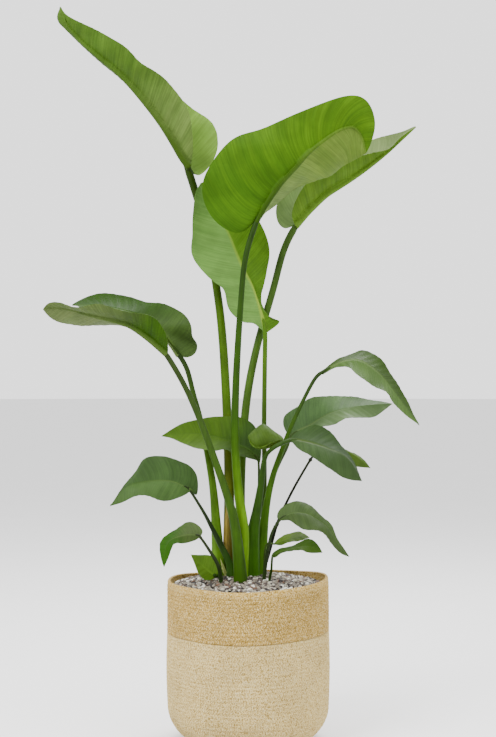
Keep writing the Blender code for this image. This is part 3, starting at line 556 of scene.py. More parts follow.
        "right": [(0.148, -0.016, 0.694), (0.166, -0.025, 0.703), (0.185, -0.04, 0.704),
                  (0.199, -0.055, 0.69), (0.215, -0.065, 0.679), (0.237, -0.07, 0.666),
                  (0.253, -0.072, 0.656), (0.264, -0.07, 0.641), (0.281, -0.066, 0.624),
                  (0.3, -0.062, 0.607)],
        "face": (0.2, -0.6, 0.8),
        "camber": (0.04, 0.04),
        "upper": [(80, 106, 58), (108, 138, 90)],
        "under": [(120, 145, 90), (120, 145, 90)],
        "rib": (122, 146, 100),
        "stalk": [(108, 166, 24), (90, 134, 34), (56, 82, 28)],
        "flare": 0.55,
        "collars": [(0.97, 0.35)],
    },
    "right_back": {
        "stem": [(0.026, 0.037, 0), (0.037, 0.036, 0.449), (0.054, 0.032, 0.506), (0.074, 0.033, 0.548),
                 (0.078, 0.036, 0.569)],
        "radius": (0.0034, 0.0028),
        "midrib": [(0.078, 0.035, 0.571), (0.097, 0.032, 0.583), (0.116, 0.03, 0.591),
                   (0.139, 0.027, 0.606), (0.16, 0.025, 0.617), (0.185, 0.025, 0.624),
                   (0.213, 0.025, 0.629), (0.244, 0.028, 0.632), (0.275, 0.03, 0.633)],
        "left": [(0.069, 0.045, 0.586), (0.067, 0.05, 0.599), (0.073, 0.055, 0.613),
                 (0.108, 0.06, 0.635), (0.125, 0.062, 0.644), (0.158, 0.062, 0.648),
                 (0.192, 0.06, 0.647), (0.219, 0.055, 0.642), (0.249, 0.045, 0.639)],
        "right": [(0.092, 0.03, 0.567), (0.114, 0.015, 0.576), (0.136, 0.005, 0.588), (0.162, 0, 0.596),
                  (0.185, 0, 0.606), (0.212, 0.005, 0.607), (0.238, 0.01, 0.609), (0.258, 0.02, 0.62)],
        "face": (-0.1, -0.75, 0.65),
        "camber": (0.04, 0.04),
        "upper": [(88, 120, 84), (106, 132, 104)],
        "under": [(120, 140, 90), (120, 140, 90)],
        "rib": (116, 140, 100),
        "upperTip": [(108, 142, 104), (128, 154, 126)],
        "stalk": [(60, 84, 36), (66, 90, 44), (80, 104, 56)],
        "flare": 0.6,
    },
    "right_low_back": {
        "stem": [(0.03, 0.062, 0), (0.038, 0.062, 0.335), (0.057, 0.061, 0.403), (0.073, 0.06, 0.439),
                 (0.094, 0.056, 0.48), (0.121, 0.051, 0.528)],
        "radius": (0.0026, 0.0023),
        "midrib": [(0.121, 0.05, 0.53), (0.148, 0.048, 0.544), (0.176, 0.045, 0.546),
                   (0.205, 0.04, 0.534), (0.234, 0.035, 0.51)],
        "left": [(0.135, 0.055, 0.547), (0.164, 0.06, 0.554), (0.191, 0.055, 0.544),
                 (0.211, 0.05, 0.533), (0.224, 0.042, 0.524)],
        "right": [(0.138, 0.045, 0.525), (0.168, 0.04, 0.523), (0.195, 0.035, 0.515),
                  (0.214, 0.033, 0.512)],
        "face": (0.2, -0.6, 0.75),
        "camber": (0, 0),
        "upper": [(104, 132, 50), (96, 122, 52)],
        "under": [(110, 135, 70), (110, 135, 70)],
        "stalk": [(44, 52, 36), (44, 50, 38), (54, 62, 44)],
        "flare": 0.3,
        "collars": [(0.40, 0.7), (0.93, 0.8)],
    },
    "low_right": {
        "stem": [(0.03, -0.042, 0), (0.035, -0.05, 0.353), (0.044, -0.06, 0.397),
                 (0.056, -0.067, 0.422)],
        "radius": (0.0036, 0.0022),
        "midrib": [(0.057, -0.067, 0.423), (0.072, -0.072, 0.432), (0.088, -0.076, 0.437),
                   (0.11, -0.08, 0.434), (0.128, -0.084, 0.424), (0.142, -0.087, 0.414),
                   (0.153, -0.09, 0.4), (0.164, -0.092, 0.382), (0.185, -0.092, 0.357)],
        "left": [(0.052, -0.06, 0.423), (0.054, -0.055, 0.433), (0.06, -0.052, 0.442),
                 (0.073, -0.052, 0.45), (0.088, -0.055, 0.455), (0.105, -0.058, 0.454),
                 (0.118, -0.062, 0.448), (0.127, -0.068, 0.437), (0.138, -0.072, 0.426),
                 (0.15, -0.076, 0.418), (0.157, -0.082, 0.407), (0.164, -0.088, 0.389),
                 (0.173, -0.091, 0.375)],
        "right": [(0.061, -0.072, 0.42), (0.074, -0.08, 0.423), (0.087, -0.095, 0.416),
                  (0.103, -0.105, 0.408), (0.121, -0.11, 0.407), (0.133, -0.11, 0.406),
                  (0.142, -0.105, 0.398), (0.149, -0.1, 0.386), (0.16, -0.097, 0.371),
                  (0.171, -0.094, 0.362)],
        "face": (0.1, -0.7, 0.7),
        "camber": (-0.05, -0.08),
        "upper": [(96, 118, 84), (90, 112, 74)],
        "under": [(160, 174, 141), (120, 140, 90)],
        "stalk": [(64, 86, 46), (54, 70, 42), (64, 82, 48)],
        "flare": 0.1,
        "collars": [(0.45, 0.5), (0.78, 0.6)],
    },
    "small_right_upper": {
        "stem": [(0.03, -0.024, 0), (0.033, -0.027, 0.369), (0.045, -0.033, 0.373)],
        "radius": (0.0018, 0.0014),
        "midrib": [(0.047, -0.033, 0.373), (0.063, -0.034, 0.38), (0.08, -0.033, 0.385),
                   (0.097, -0.03, 0.388), (0.115, -0.028, 0.385)],
        "left": [(0.054, -0.028, 0.38), (0.069, -0.022, 0.39), (0.085, -0.018, 0.393),
                 (0.094, -0.017, 0.395), (0.105, -0.02, 0.392)],
        "right": [(0.06, -0.04, 0.372), (0.075, -0.045, 0.378), (0.093, -0.042, 0.38),
                  (0.106, -0.036, 0.383)],
        "face": (0, -0.6, 0.8),
        "camber": (0, 0),
        "upper": [(120, 152, 56), (108, 140, 50)],
        "under": [(110, 135, 70), (110, 135, 70)],
        "stalk": [(70, 94, 40), (78, 100, 50), (84, 110, 50)],
    },
    "small_right_lower": {
        "stem": [(0.04, -0.05, 0), (0.043, -0.065, 0.33), (0.044, -0.087, 0.353)],
        "radius": (0.0022, 0.0018),
        "midrib": [(0.042, -0.088, 0.356), (0.056, -0.092, 0.367), (0.073, -0.096, 0.372),
                   (0.091, -0.1, 0.377), (0.109, -0.103, 0.379), (0.123, -0.105, 0.375),
                   (0.135, -0.106, 0.367)],
        "left": [(0.043, -0.085, 0.362), (0.057, -0.084, 0.372), (0.07, -0.086, 0.375),
                 (0.087, -0.088, 0.378), (0.1, -0.088, 0.388), (0.113, -0.09, 0.391),
                 (0.124, -0.096, 0.384)],
        "right": [(0.049, -0.095, 0.356), (0.061, -0.1, 0.366), (0.075, -0.106, 0.369),
                  (0.086, -0.11, 0.373), (0.097, -0.114, 0.373), (0.107, -0.116, 0.368),
                  (0.12, -0.112, 0.367)],
        "face": (0.1, -0.7, 0.7),
        "camber": (0, 0),
        "upper": [(68, 100, 28), (76, 106, 36)],
        "under": [(100, 130, 60), (100, 130, 60)],
        "stalk": [(60, 90, 30), (66, 96, 34), (70, 100, 36)],
    },
    "low_left": {
        "stem": [(-0.033, -0.01, 0), (-0.036, -0.012, 0.337), (-0.054, -0.016, 0.375),
                 (-0.069, -0.021, 0.405), (-0.084, -0.026, 0.434), (-0.105, -0.032, 0.471)],
        "radius": (0.0026, 0.0022),
        "midrib": [(-0.106, -0.032, 0.473), (-0.12, -0.036, 0.482), (-0.143, -0.04, 0.491),
                   (-0.171, -0.044, 0.492), (-0.198, -0.048, 0.489), (-0.222, -0.051, 0.483),
                   (-0.24, -0.054, 0.466), (-0.255, -0.056, 0.446)],
        "left": [(-0.095, -0.025, 0.46), (-0.093, -0.015, 0.486), (-0.099, -0.01, 0.506),
                 (-0.113, -0.01, 0.52), (-0.133, -0.012, 0.528), (-0.153, -0.016, 0.536),
                 (-0.176, -0.02, 0.537), (-0.196, -0.026, 0.531), (-0.207, -0.035, 0.511),
                 (-0.23, -0.046, 0.485), (-0.246, -0.053, 0.457)],
        "right": [(-0.112, -0.038, 0.468), (-0.131, -0.055, 0.46), (-0.158, -0.07, 0.457),
                  (-0.181, -0.07, 0.465), (-0.205, -0.066, 0.467), (-0.229, -0.062, 0.454)],
        "face": (-0.05, -0.82, 0.55),
        "camber": (-0.05, -0.06),
        "upper": [(82, 112, 74), (96, 128, 84)],
        "under": [(110, 140, 80), (110, 140, 80)],
        "rib": (108, 136, 88),
        "stalk": [(96, 146, 66), (52, 72, 42), (56, 72, 42)],
        "flare": 2.0,
        "collars": [(0.95, 0.35)],
    },
    "small_left": {
        "stem": [(-0.05, -0.054, 0), (-0.055, -0.075, 0.34), (-0.071, -0.085, 0.369),
                 (-0.086, -0.091, 0.393)],
        "radius": (0.0021, 0.0018),
        "midrib": [(-0.086, -0.091, 0.395), (-0.102, -0.098, 0.399), (-0.121, -0.104, 0.397),
                   (-0.141, -0.107, 0.39), (-0.15, -0.108, 0.374), (-0.152, -0.108, 0.341)],
        "left": [(-0.08, -0.085, 0.403), (-0.093, -0.08, 0.415), (-0.106, -0.078, 0.421),
                 (-0.121, -0.08, 0.415), (-0.139, -0.085, 0.402), (-0.158, -0.09, 0.389),
                 (-0.161, -0.1, 0.373), (-0.157, -0.105, 0.353)],
        "right": [(-0.094, -0.1, 0.389), (-0.116, -0.11, 0.384), (-0.133, -0.115, 0.385),
                  (-0.139, -0.115, 0.374), (-0.144, -0.112, 0.358)],
        "face": (-0.2, -0.6, 0.75),
        "camber": (0, 0),
        "upper": [(104, 122, 90), (88, 108, 66)],
        "under": [(130, 143, 112), (90, 125, 20)],
        "upperTip": [(64, 118, 12), (64, 118, 12)],
        "stalk": [(70, 94, 56), (60, 72, 52), (68, 78, 56)],
        "flare": 1.0,
        "collars": [(0.9, 0.35)],
    },
    "short_left": {
        "stem": [(-0.051, -0.034, 0), (-0.057, -0.047, 0.314)],
        "radius": (0.003, 0.0028),
        "midrib": [(-0.059, -0.05, 0.316), (-0.072, -0.054, 0.326), (-0.085, -0.058, 0.338),
                   (-0.096, -0.062, 0.348), (-0.105, -0.066, 0.358)],
        "left": [(-0.054, -0.045, 0.33), (-0.057, -0.045, 0.347), (-0.072, -0.05, 0.355),
                 (-0.089, -0.056, 0.356)],
        "right": [(-0.067, -0.05, 0.309), (-0.081, -0.054, 0.31), (-0.092, -0.058, 0.323),
                  (-0.098, -0.062, 0.34)],
        "face": (0.1, -0.9, 0.4),
        "camber": (0, 0),
        "upper": [(132, 176, 66), (132, 176, 66)],
        "under": [(116, 162, 64), (116, 162, 64)],
        "stalk": [(60, 92, 30), (60, 92, 30), (66, 100, 34)],
    },
}


bladeShape = {
    "rowLength": 0.0030,
    "rows": (36, 110),  # fewest and most
    "columnWidth": 0.013,
    "columns": (12, 26),  # of each half, fewest and most
    "crowding": 1.5,  # draws the columns towards the midrib
    "thickness": 0.0007,
    "ribSize": 0.85,  # radius of the midrib as a share of the stem's
    "ribEnd": 0.12,  # what is left of it at the tip
    "ribDepth": 1.9,  # how far it stands out, in radii
    "groove": 0.0011,
    "fullSize": 0.3,  # length of a blade that has its full waves
    "wave": 0.0022,
    "pleat": 0.00035,
    "pleatLength": 0.013,
    "firstTurn": 0.13,  # shifts the waves from one blade to the next
    "turnStep": 0.29,
    "merge": 0.00002,
    "upper": (0.54, 0.30),  # roughness, and strength of the soft bands
    "under": (0.58, 0.60),
}


def bladeRails(leaf, count):  # the midrib, both margins, and which way the upper side looks on each half
    base, tip = leaf["midrib"][0], leaf["midrib"][-1]
    spine = smoothRoute(leaf["midrib"], count, 6)
    margins = [smoothRoute([base, *leaf[side], tip], count, 5) for side in ("left", "right")]
    ahead = unit(np.gradient(spine, axis=0))
    ups = []
    for margin in margins:
        up = unit(np.cross(ahead, margin - spine))
        up[up @ np.array(leaf["face"]) < 0] *= -1
        up[0], up[-1] = up[1], up[-2]
        for _ in range(4):
            up[1:-1] = unit(up[:-2] + 2 * up[1:-1] + up[2:])
        ups.append(up)
    return spine, margins, ahead, ups


def ownHalf(across, row, margins, ups):  # the margin and the upward direction of the half a point is on
    right = (across > 0)[:, None]
    return np.where(right, margins[1][row], margins[0][row]), np.where(right, ups[1][row], ups[0][row])


def leafRib(tones):  # a midrib a little lighter and yellower than its blade
    middle = [(a + b) / 2 for a, b in zip(*tones)]
    return [value * 1.08 + 3 for value in middle]


def leafBlade(name, leaf, turn):
    length = routeLength(smoothRoute(leaf["midrib"], 40))
    rows = int(np.clip(length / bladeShape["rowLength"], *bladeShape["rows"]))
    columns = 2 * int(np.clip(length / bladeShape["columnWidth"], *bladeShape["columns"]))
    spine, margins, ahead, ups = bladeRails(leaf, rows + 1)
    middleUp = unit(ups[0] + ups[1])
    rib = np.linspace(1, bladeShape["ribEnd"], rows + 1) ** 0.8 * leaf["radius"][1] * bladeShape["ribSize"]
    size = min(length / bladeShape["fullSize"], 1)
    middle = rows // 2
    facing = np.cross(margins[1][middle] - margins[0][middle], ahead[middle])
    flipped = np.dot(facing, middleUp[middle]) < 0
    kept = {}

    def place(u, v):
        row = np.rint(v * rows).astype(int)
        across = 1 - 2 * u if flipped else 2 * u - 1
        across = np.sign(across) * np.abs(across) ** bladeShape["crowding"]
        right = across > 0
        margin, up = ownHalf(across, row, margins, ups)
        camber = np.where(right, leaf["camber"][1], leaf["camber"][0])
        span = margin - spine[row]
        width = np.linalg.norm(span, axis=1)
        reach = np.abs(across)
        distance = reach * width
        points = spine[row] + span * reach[:, None]
        lift = -camber * width * 4 * reach * (1 - reach)
        ends = np.sin(np.pi * v) ** 0.6  # no waves at the base and the tip
        waves = np.sin(2 * np.pi * (v * (1.6 + 2 * size) + turn + 0.37 * right))
        waves += 0.4 * np.sin(2 * np.pi * (v * (3.3 + 3 * size) + 2.7 * turn + 0.21 * right))
        lift += bladeShape["wave"] * size * waves * reach**2.5 * ends
        slanted = v * length - veins["slant"] * distance
        pleats = np.sin(2 * np.pi * slanted / bladeShape["pleatLength"])
        pleats += 0.5 * np.sin(2 * np.pi * slanted / bladeShape["pleatLength"] * 2.3 + turn * 9)
        lift += bladeShape["pleat"] * pleats * np.clip(distance / 0.01, 0, 1) * ends
        points += up * lift[:, None]
        dip = bladeShape["groove"] * np.exp(-(distance / (rib[row] * 0.8)) ** 2)
        dip *= np.clip(rib[row] / 0.003, 0, 1)
        points -= middleUp[row] * dip[:, None]
        kept["u"] = 0.5 + across * width
        kept["v"] = v * length
        kept["far"] = v
        shape = np.sqrt(np.clip(1 - (distance / rib[row]) ** 2, 0, 1))
        kept["keel"] = np.clip(shape * rib[row] / rib[0], 0, 1)
        kept["rib"] = np.clip(1.5 - distance / rib[row], 0, 1) * np.clip(1.15 - v, 0, 1) ** 1.5
        return points

    sheet = addGrid(name, columns, rows, place)
    setUv(sheet, kept["u"], kept["v"])
    setShade(sheet, "rib", kept["rib"])
    setShade(sheet, "far", kept["far"])
    keel = sheet.vertex_groups.new(name="keel")
    for i, weight in enumerate(kept["keel"]):
        keel.add([i], float(weight), "REPLACE")
    closeUp(sheet, bladeShape["merge"], turnOut=False)
    for side in ("upper", "under"):
        # these blade tones hold painted light as well as the leaf's own green
        tones = [greenTint(*tone) for tone in leaf[side]]
        tipTones = [greenTint(*tone) for tone in leaf.get(f"{side}Tip", leaf[side])]
        ribTone = greenTint(*leaf.get("rib", leafRib(leaf[side])))
        finish = leafFinish(name + side.title(), tones, tipTones, ribTone, *bladeShape[side])
        sheet.data.materials.append(finish)
    ribDepth = rib[0] * bladeShape["ribDepth"]
    thick = sheet.modifiers.new("thickness", "SOLIDIFY")
    thick.thickness = ribDepth
    thick.offset = -1
    thick.vertex_group = "keel"
    thick.thickness_vertex_group = bladeShape["thickness"] / ribDepth
    thick.material_offset = 1
    applyAll(sheet)
    bpy.ops.object.shade_smooth_by_angle(angle=math.radians(65))
    finishPiece(sheet, "leaf", f"{name}_leaf")


stemShape = {
    "around": 20,
    "along": 84,
    "groove": 0.20,  # depth of the channel on the upper side, as a share of the radius
    "grooveWidth": 0.22,
    "flare": 0.22,  # how much wider the foot is, as a share, where a leaf doesn't say
    "flareLength": 0.11,
    "collarLength": 0.008,  # as a share of the stem
    "footDepth": 0.010,  # below the top of the stones
    "footHeight": 0.014,  # of the stretch that stands upright
    "endRows": 6,  # the rows over which the top closes
    "endSize": 0.45,
    "dryFade": 0.03,  # over which a dry stretch fades in and out, as a share of the stem
}


def stonesHeight(radius):  # the domed top of the layer of stones
    return 0.311 - 0.021 * (radius / 0.15) ** 2


def leafStem(name, leaf):
    spine, _, _, ups = bladeRails(leaf, 41)
    under = -unit(ups[0] + ups[1])
    footRadius, topRadius = leaf["radius"]
    footX, footY, _ = leaf["stem"][0]
    low = stonesHeight(math.hypot(footX, footY)) - stemShape["footDepth"]
    foot = [(footX, footY, low), (footX, footY, low + stemShape["footHeight"])]
    # the top slips in against the underside of the midrib
    joined = [tuple(spine[i] + under[i] * topRadius * (0.55 - i * 0.05)) for i in (1, 4)]
    around, along = stemShape["around"], stemShape["along"]
    route = smoothRoute([*foot, *leaf["stem"][1:-1], *joined], along + 1, 5)
    ahead = unit(np.gradient(route, axis=0))
    face = np.array(leaf["face"]) + (0, -0.001, 0)  # turned a touch to the front
    side = unit(np.cross(ahead, face))
    for _ in range(12):
        side[1:-1] = unit(side[:-2] + 2 * side[1:-1] + side[2:])
    top = unit(np.cross(side, ahead))
    share = np.linspace(0, 1, along + 1)
    radius = footRadius + (topRadius - footRadius) * np.clip(share * 1.25, 0, 1) ** 0.9
    flare = leaf.get("flare", stemShape["flare"])
    radius *= 1 + flare * np.exp(-((share * routeLength(route) / stemShape["flareLength"]) ** 2))
    for where, size in leaf.get("collars", []):
        radius *= 1 + size * np.exp(-(((share - where) / stemShape["collarLength"]) ** 2))
    radius[-stemShape["endRows"]:] *= np.linspace(1, stemShape["endSize"], stemShape["endRows"])
    radius[0] = radius[-1] = 0

    def place(u, v):
        row = np.rint(v * along).astype(int)
        angle = 2 * np.pi * u
        fromTop = np.sin((angle - np.pi / 2) / 2) / stemShape["grooveWidth"]
        channel = 1 - stemShape["groove"] * np.exp(-(fromTop**2))
        size = (radius[row] * channel)[:, None]
        return route[row] + size * (np.cos(angle)[:, None] * side[row] + np.sin(angle)[:, None] * top[row])

    tube = addGrid(f"{name}Stem", around, along, place)
    spot = np.repeat(share, around + 1)
    dryness = np.zeros(len(spot))
    for start, stop, amount in leaf.get("dry", []):
        fadeIn = np.clip((spot - start) / stemShape["dryFade"], 0, 1)
        fadeOut = np.clip((stop - spot) / stemShape["dryFade"], 0, 1)
        dryness = np.maximum(dryness, fadeIn * fadeOut * amount)
    setShade(tube, "dry", dryness)
    closeUp(tube)
    tones = [greenTint(*tone, look["stemBrightness"]) for tone in leaf["stalk"]]
    tube.data.materials.append(stemFinish(f"{name}Stem", *tones))
    bpy.ops.object.shade_smooth()
    finishPiece(tube, "stem", f"{name}_stem")


for number, (leafName, leafData) in enumerate(leaves.items()):
    leafBlade(leafName, leafData, bladeShape["firstTurn"] + bladeShape["turnStep"] * number)
    if "stem" in leafData:
        leafStem(leafName, leafData)
print("blades and stems:", len(leaves))


basket = {
    "radius": 0.150,
    "height": 0.3030,
    "wall": 0.0042,
    "corner": 0.070,
    "foot": 0.0012,  # height of the underside, from which the braid stands out downwards
    "bandBottom": 0.2075,  # where the darker band meets the pale one
    "bandGap": 0.0006,
    "rowPitch": 0.0074,
    "rowDepth": 0.0009,
    "strand": 0.0046,  # length of one strand of the braid
    "strandDepth": 0.0012,
    "rollAt": (0.0045, 0.0042),  # depth of the rolled edge below the rim, and half its width
    "stitchesAt": (0.0095, 0.0011),
    "stitches": 230,
    "rollHeight": 0.0007,
    "seamDepth": 0.0012,
    "stitchHeight": 0.0013,
    "tilt": 0.0030,  # how far the right of the rim stands above level
    "sway": 0.0035,  # how far the sides stand above the front and the back
    "frontLift": 0.0015,
    "ripple": 0.0007,
    "bulge": 0.0016,  # of the sides, half-way up
    "columns": 840,
    "footColumns": 720,
}


def rimLift(angle):  # the soft rim isn't quite level
    lift = basket["tilt"] * np.cos(angle) + basket["sway"] * np.cos(2 * angle)
    return lift - basket["frontLift"] * np.sin(angle) + basket["ripple"] * np.sin(5 * angle + 0.6)


def braid(angle, along, radius):  # heights of a flat braid's rows and of its strands, from 0 to 1
    row = along / basket["rowPitch"]
    number = np.floor(row)
    across = 2 * (row - number) - 1
    arch = np.sqrt(np.clip(1 - np.abs(across) ** 2.6, 0, 1))
    turns = np.round(2 * np.pi * radius / basket["strand"])
    lean = np.where(across > 0, 0.5 * across, -0.5 * across + 0.5)
    wobble = 0.35 * np.sin(7 * angle + number * 2.1) + 0.2 * np.sin(23 * angle + number * 5.3)
    phase = turns * angle / (2 * np.pi) + lean + wobble + 0.37 * number
    strand = 0.5 + 0.5 * np.cos(2 * np.pi * phase)
    return arch, strand


def hem(depth):  # the rolled edge with its line of stitches, measured down from the rim
    (rollDepth, rollHalf), (stitchDepth, stitchHalf) = basket["rollAt"], basket["stitchesAt"]
    roll = np.exp(-(((depth - rollDepth) / rollHalf) ** 4))
    line = np.exp(-(((depth - stitchDepth) / stitchHalf) ** 2))
    return roll, line


jute = {
    "tan": [(226, 198, 140), (208, 176, 116), (128, 106, 66)],  # light strands, the strands' side in painted shade, and painted shade in the gaps
    "cream": [(254, 232, 180), (240, 214, 158), (146, 124, 80)],
    # a painted highlight on the strands
    "shine": (250, 236, 200),
    "thread": (222, 200, 152),
    "flecks": 620,  # per metre
    "strands": 430,
    "fades": 14,
}


def juteFinish(name, lightTone, darkTone, gapShadeTone):
    made, tree, shader = startMaterial(name)
    place = objectPlace(tree)
    flecks = noise(tree, place, jute["flecks"], 2.0, 0.6)
    strands = noise(tree, place, jute["strands"], 2.0, 0.5)
    fades = noise(tree, place, jute["fades"], 2.0)
    # painted light: the darker tone paints the strands' shaded side, the shine tone paints highlights on
    # them, and the gap tone paints shade between them and in small dark specks
    base = mixColour(tree, softRange(tree, strands, 0.40, 0.60), darkTone, lightTone)
    base = mixColour(tree, softRange(tree, strands, 0.48, 0.34, 0.0, 0.85), base, gapShadeTone)
    base = mixColour(tree, softRange(tree, strands, 0.55, 0.68, 0.0, 0.8), base, tint(*jute["shine"]))
    base = mixColour(tree, softRange(tree, flecks, 0.56, 0.66, 0.0, 0.4), base, gapShadeTone)
    # painted shade: the grooves between the braid's rows and strands are darkened towards the gap tone
    base = mixColour(tree, softRange(tree, pointShade(tree, "grooveShade"), 0.50, 0.10, 0.0, 0.7), base, gapShadeTone)
    base = mixColour(tree, pointShade(tree, "stitch"), base, tint(*jute["thread"]))
    base = multiplied(tree, base, softRange(tree, fades, 0.3, 0.7, 0.92, 1.07))
    setSurface(tree, shader, base, 0.92, 0.2)
    bump(tree, shader, math2(tree, "ADD", flecks, strands), 0.8, 0.0012)
    return made


# A closed outline turned round the basket's axis. Each point of the profile is a radius, a height and how
# much of the braid shows there: 1 outside, 0 inside. "shift" moves the rows of the braid along the outline.
def wovenShell(name, profile, shift, columns, finish):
    radii, heights, shows = np.array(profile, dtype=float).T
    along = np.concatenate([[0], np.cumsum(np.hypot(np.diff(radii), np.diff(heights)))])
    outR, outZ = np.gradient(heights, along), -np.gradient(radii, along)
    size = np.maximum(np.hypot(outR, outZ), 1e-9)
    outR, outZ = outR / size, outZ / size
    rows = len(profile) - 1
    kept = {}

    def place(u, v):
        row = np.rint(v * rows).astype(int)
        angle = 2 * np.pi * u
        r, z, show = radii[row], heights[row], shows[row]
        arch, strand = braid(angle, along[row] + shift, np.maximum(r, 0.01))
        lift = show * (basket["rowDepth"] * arch + basket["strandDepth"] * strand * arch)
        roll, line = hem(basket["height"] - z)
        near = np.where((show > 0) & (z > basket["height"] / 2), 1.0, 0.0)
        lift = lift * (1 - near * np.clip(roll * 1.2, 0, 0.8))
        lift += near * (basket["rollHeight"] * roll - basket["seamDepth"] * line)
        dashes = np.clip(np.cos(basket["stitches"] * angle) * 3, 0, 1)
        lift += near * line * dashes * basket["stitchHeight"]
        soft = 0.0011 * np.sin(3 * angle + 1.3 + z * 9) + 0.0007 * np.sin(5 * angle - z * 17)
        r = r + soft * np.clip(r / 0.12, 0, 1) + lift * outR[row]
        z = z + lift * outZ[row] + rimLift(angle) * np.clip((z - 0.05) / 0.25, 0, 1)
        # painted shade for the grooves, low where the rows and strands dip; the rolled edge is left unshaded
        grooveShade = np.where(show > 0, (0.5 + 0.5 * arch) * (0.15 + 0.85 * strand), 0.5)
        kept["grooveShade"] = np.where(near * roll > 0.4, 0.75, grooveShade)
        kept["stitch"] = near * line * dashes * 0.9
        return np.stack([r * np.cos(angle), r * np.sin(angle), z], axis=1)

    shell = addGrid(name, columns, rows, place)
    setShade(shell, "grooveShade", kept["grooveShade"])
    setShade(shell, "stitch", kept["stitch"])
    closeUp(shell)
    shell.data.materials.append(finish)
    bpy.ops.object.shade_smooth()
    return shell


def straight(start, stop, step, shows):  # points every step from one (radius, height) to another
    count = max(int(math.dist(start, stop) / step), 1)
    return [(start[0] + (stop[0] - start[0]) * i / count, start[1] + (stop[1] - start[1]) * i / count, shows)
            for i in range(count)]


def arc(centre, across, up, degrees, shows):  # points at these angles on an ellipse round the centre
    turns = [math.radians(angle) for angle in degrees]
    return [(centre[0] + across * math.cos(turn), centre[1] + up * math.sin(turn), shows) for turn in turns]


def buildBasket():
    r, h, wall, corner = basket["radius"], basket["height"], basket["wall"], basket["corner"]
    foot, band, columns = basket["foot"], basket["bandBottom"], basket["columns"]
    inner, top, flat = r - wall, band - basket["bandGap"], r - corner
    tan = juteFinish("tanJute", *[tint(*tone) for tone in jute["tan"]])
    cream = juteFinish("creamJute", *[tint(*tone) for tone in jute["cream"]])
    upper = [*straight((r, band), (r, h - wall / 2), 0.0012, 1),
             *arc((r - wall / 2, h - wall / 2), wall / 2, wall / 2, range(15, 180, 15), 0.4),
             *straight((inner, h - wall / 2), (inner, band), 0.008, 0),
             *straight((inner, band), (r, band), 0.002, 0), (r, band, 1)]
    finishPiece(wovenShell("basketBand", upper, 0.0, columns, tan), "woven_jute", "basket")
    lower = []
    for radius, height, shows in straight((r, corner), (r, top), 0.0017, 1):
        share = (height - corner) / (band - corner)
        lower.append((radius + basket["bulge"] * math.sin(math.pi * share), height, shows))
    lower += [*straight((r, top), (inner, top), 0.002, 0),
              *straight((inner, top), (inner, corner), 0.010, 0),
              *straight((inner, corner), (r, corner), 0.002, 0), (r, corner, 1)]
    finishPiece(wovenShell("basketBody", lower, 0.003, columns, cream), "woven_jute")
    under = [*straight((0.0002, foot), (flat, foot), 0.0018, 1),
             *arc((flat, corner), corner, corner - foot, [-90 + 90 * i / 64 for i in range(64)], 1),
             (r, corner, 1), *straight((r - 0.0004, corner), (inner, corner), 0.002, 0),
             *arc((flat, corner), corner - wall, corner - wall, [-90 * i / 12 for i in range(12)], 0),
             *straight((flat, wall), (0.0002, wall), 0.010, 0)]
    finishPiece(wovenShell("basketFoot", under, 0.0, basket["footColumns"], cream), "woven_jute")


buildBasket()
print("basket")


stones = {
    "count": 3700,
    "sizes": (0.0016, 0.0033),  # half-lengths, smallest and largest
    "spread": 0.1415,
    "turn": 2.39996,  # the golden angle, which spreads them evenly
    "clearance": 0.0012,  # from the stems
    "sunk": 0.0030,  # how far the lowest ones' middles lie below the top of the layer
    "unevenness": 0.0026,
    "kinds": 6,
    # each tone, with the share of the stones that comes before it
    "tones": [(0.0, (44, 36, 34)), (0.20, (80, 68, 62)), (0.38, (118, 110, 98)), (0.54, (158, 151, 136)),
              (0.70, (200, 195, 180)), (0.84, (252, 250, 238)), (0.94, (116, 88, 70))],
    "bedRadii": [0, 0.03, 0.06, 0.09, 0.12, 0.142],  # of the gravel below the top layer
    "bedDepth": 0.0052,
    "bedBottom": 0.2768,
}


def stoneFinish(name):
    made, tree, shader = startMaterial(name)
    ramp = addNode(tree, "ShaderNodeValToRGB")
    tree.links.new(pointShade(tree, "shade"), ramp.inputs[0])
    ramp.color_ramp.interpolation = "CONSTANT"
    elements = ramp.color_ramp.elements
    (_, firstTone), (secondStart, secondTone), *others = stones["tones"]
    elements[0].color = tint(*firstTone)
    elements[1].position = secondStart
    elements[1].color = tint(*secondTone)
    for start, tone in others:
        elements.new(start).color = tint(*tone)
    grains = noise(tree, objectPlace(tree), 900.0, 3.0, 0.7)
    base = multiplied(tree, ramp.outputs[0], softRange(tree, grains, 0.35, 0.65, 0.72, 1.18))
    setSurface(tree, shader, base, 0.78)
    bump(tree, shader, grains, 0.4, 0.0006)
    return made


def soilFinish(name):
    made, tree, shader = startMaterial(name)
    crumbs = noise(tree, objectPlace(tree), 260.0, 5.0, 0.7)
    base = mixColour(tree, softRange(tree, crumbs, 0.35, 0.65), tint(38, 28, 22), tint(92, 72, 56))
    setSurface(tree, shader, base, 0.95)
    bump(tree, shader, crumbs, 0.8, 0.002)
    return made


def plasticFinish(name):
    made, tree, shader = startMaterial(name)
    place = objectPlace(tree)
    scuffs = noise(tree, place, 18.0, 4.0, 0.65)
    base = mixColour(tree, softRange(tree, scuffs, 0.5, 0.75), tint(34, 34, 35), tint(56, 55, 54))
    setSurface(tree, shader, base, softRange(tree, scuffs, 0.4, 0.7, 0.42, 0.62))
    bump(tree, shader, noise(tree, place, 700.0, 2.0), 0.15, 0.0003)
    return made


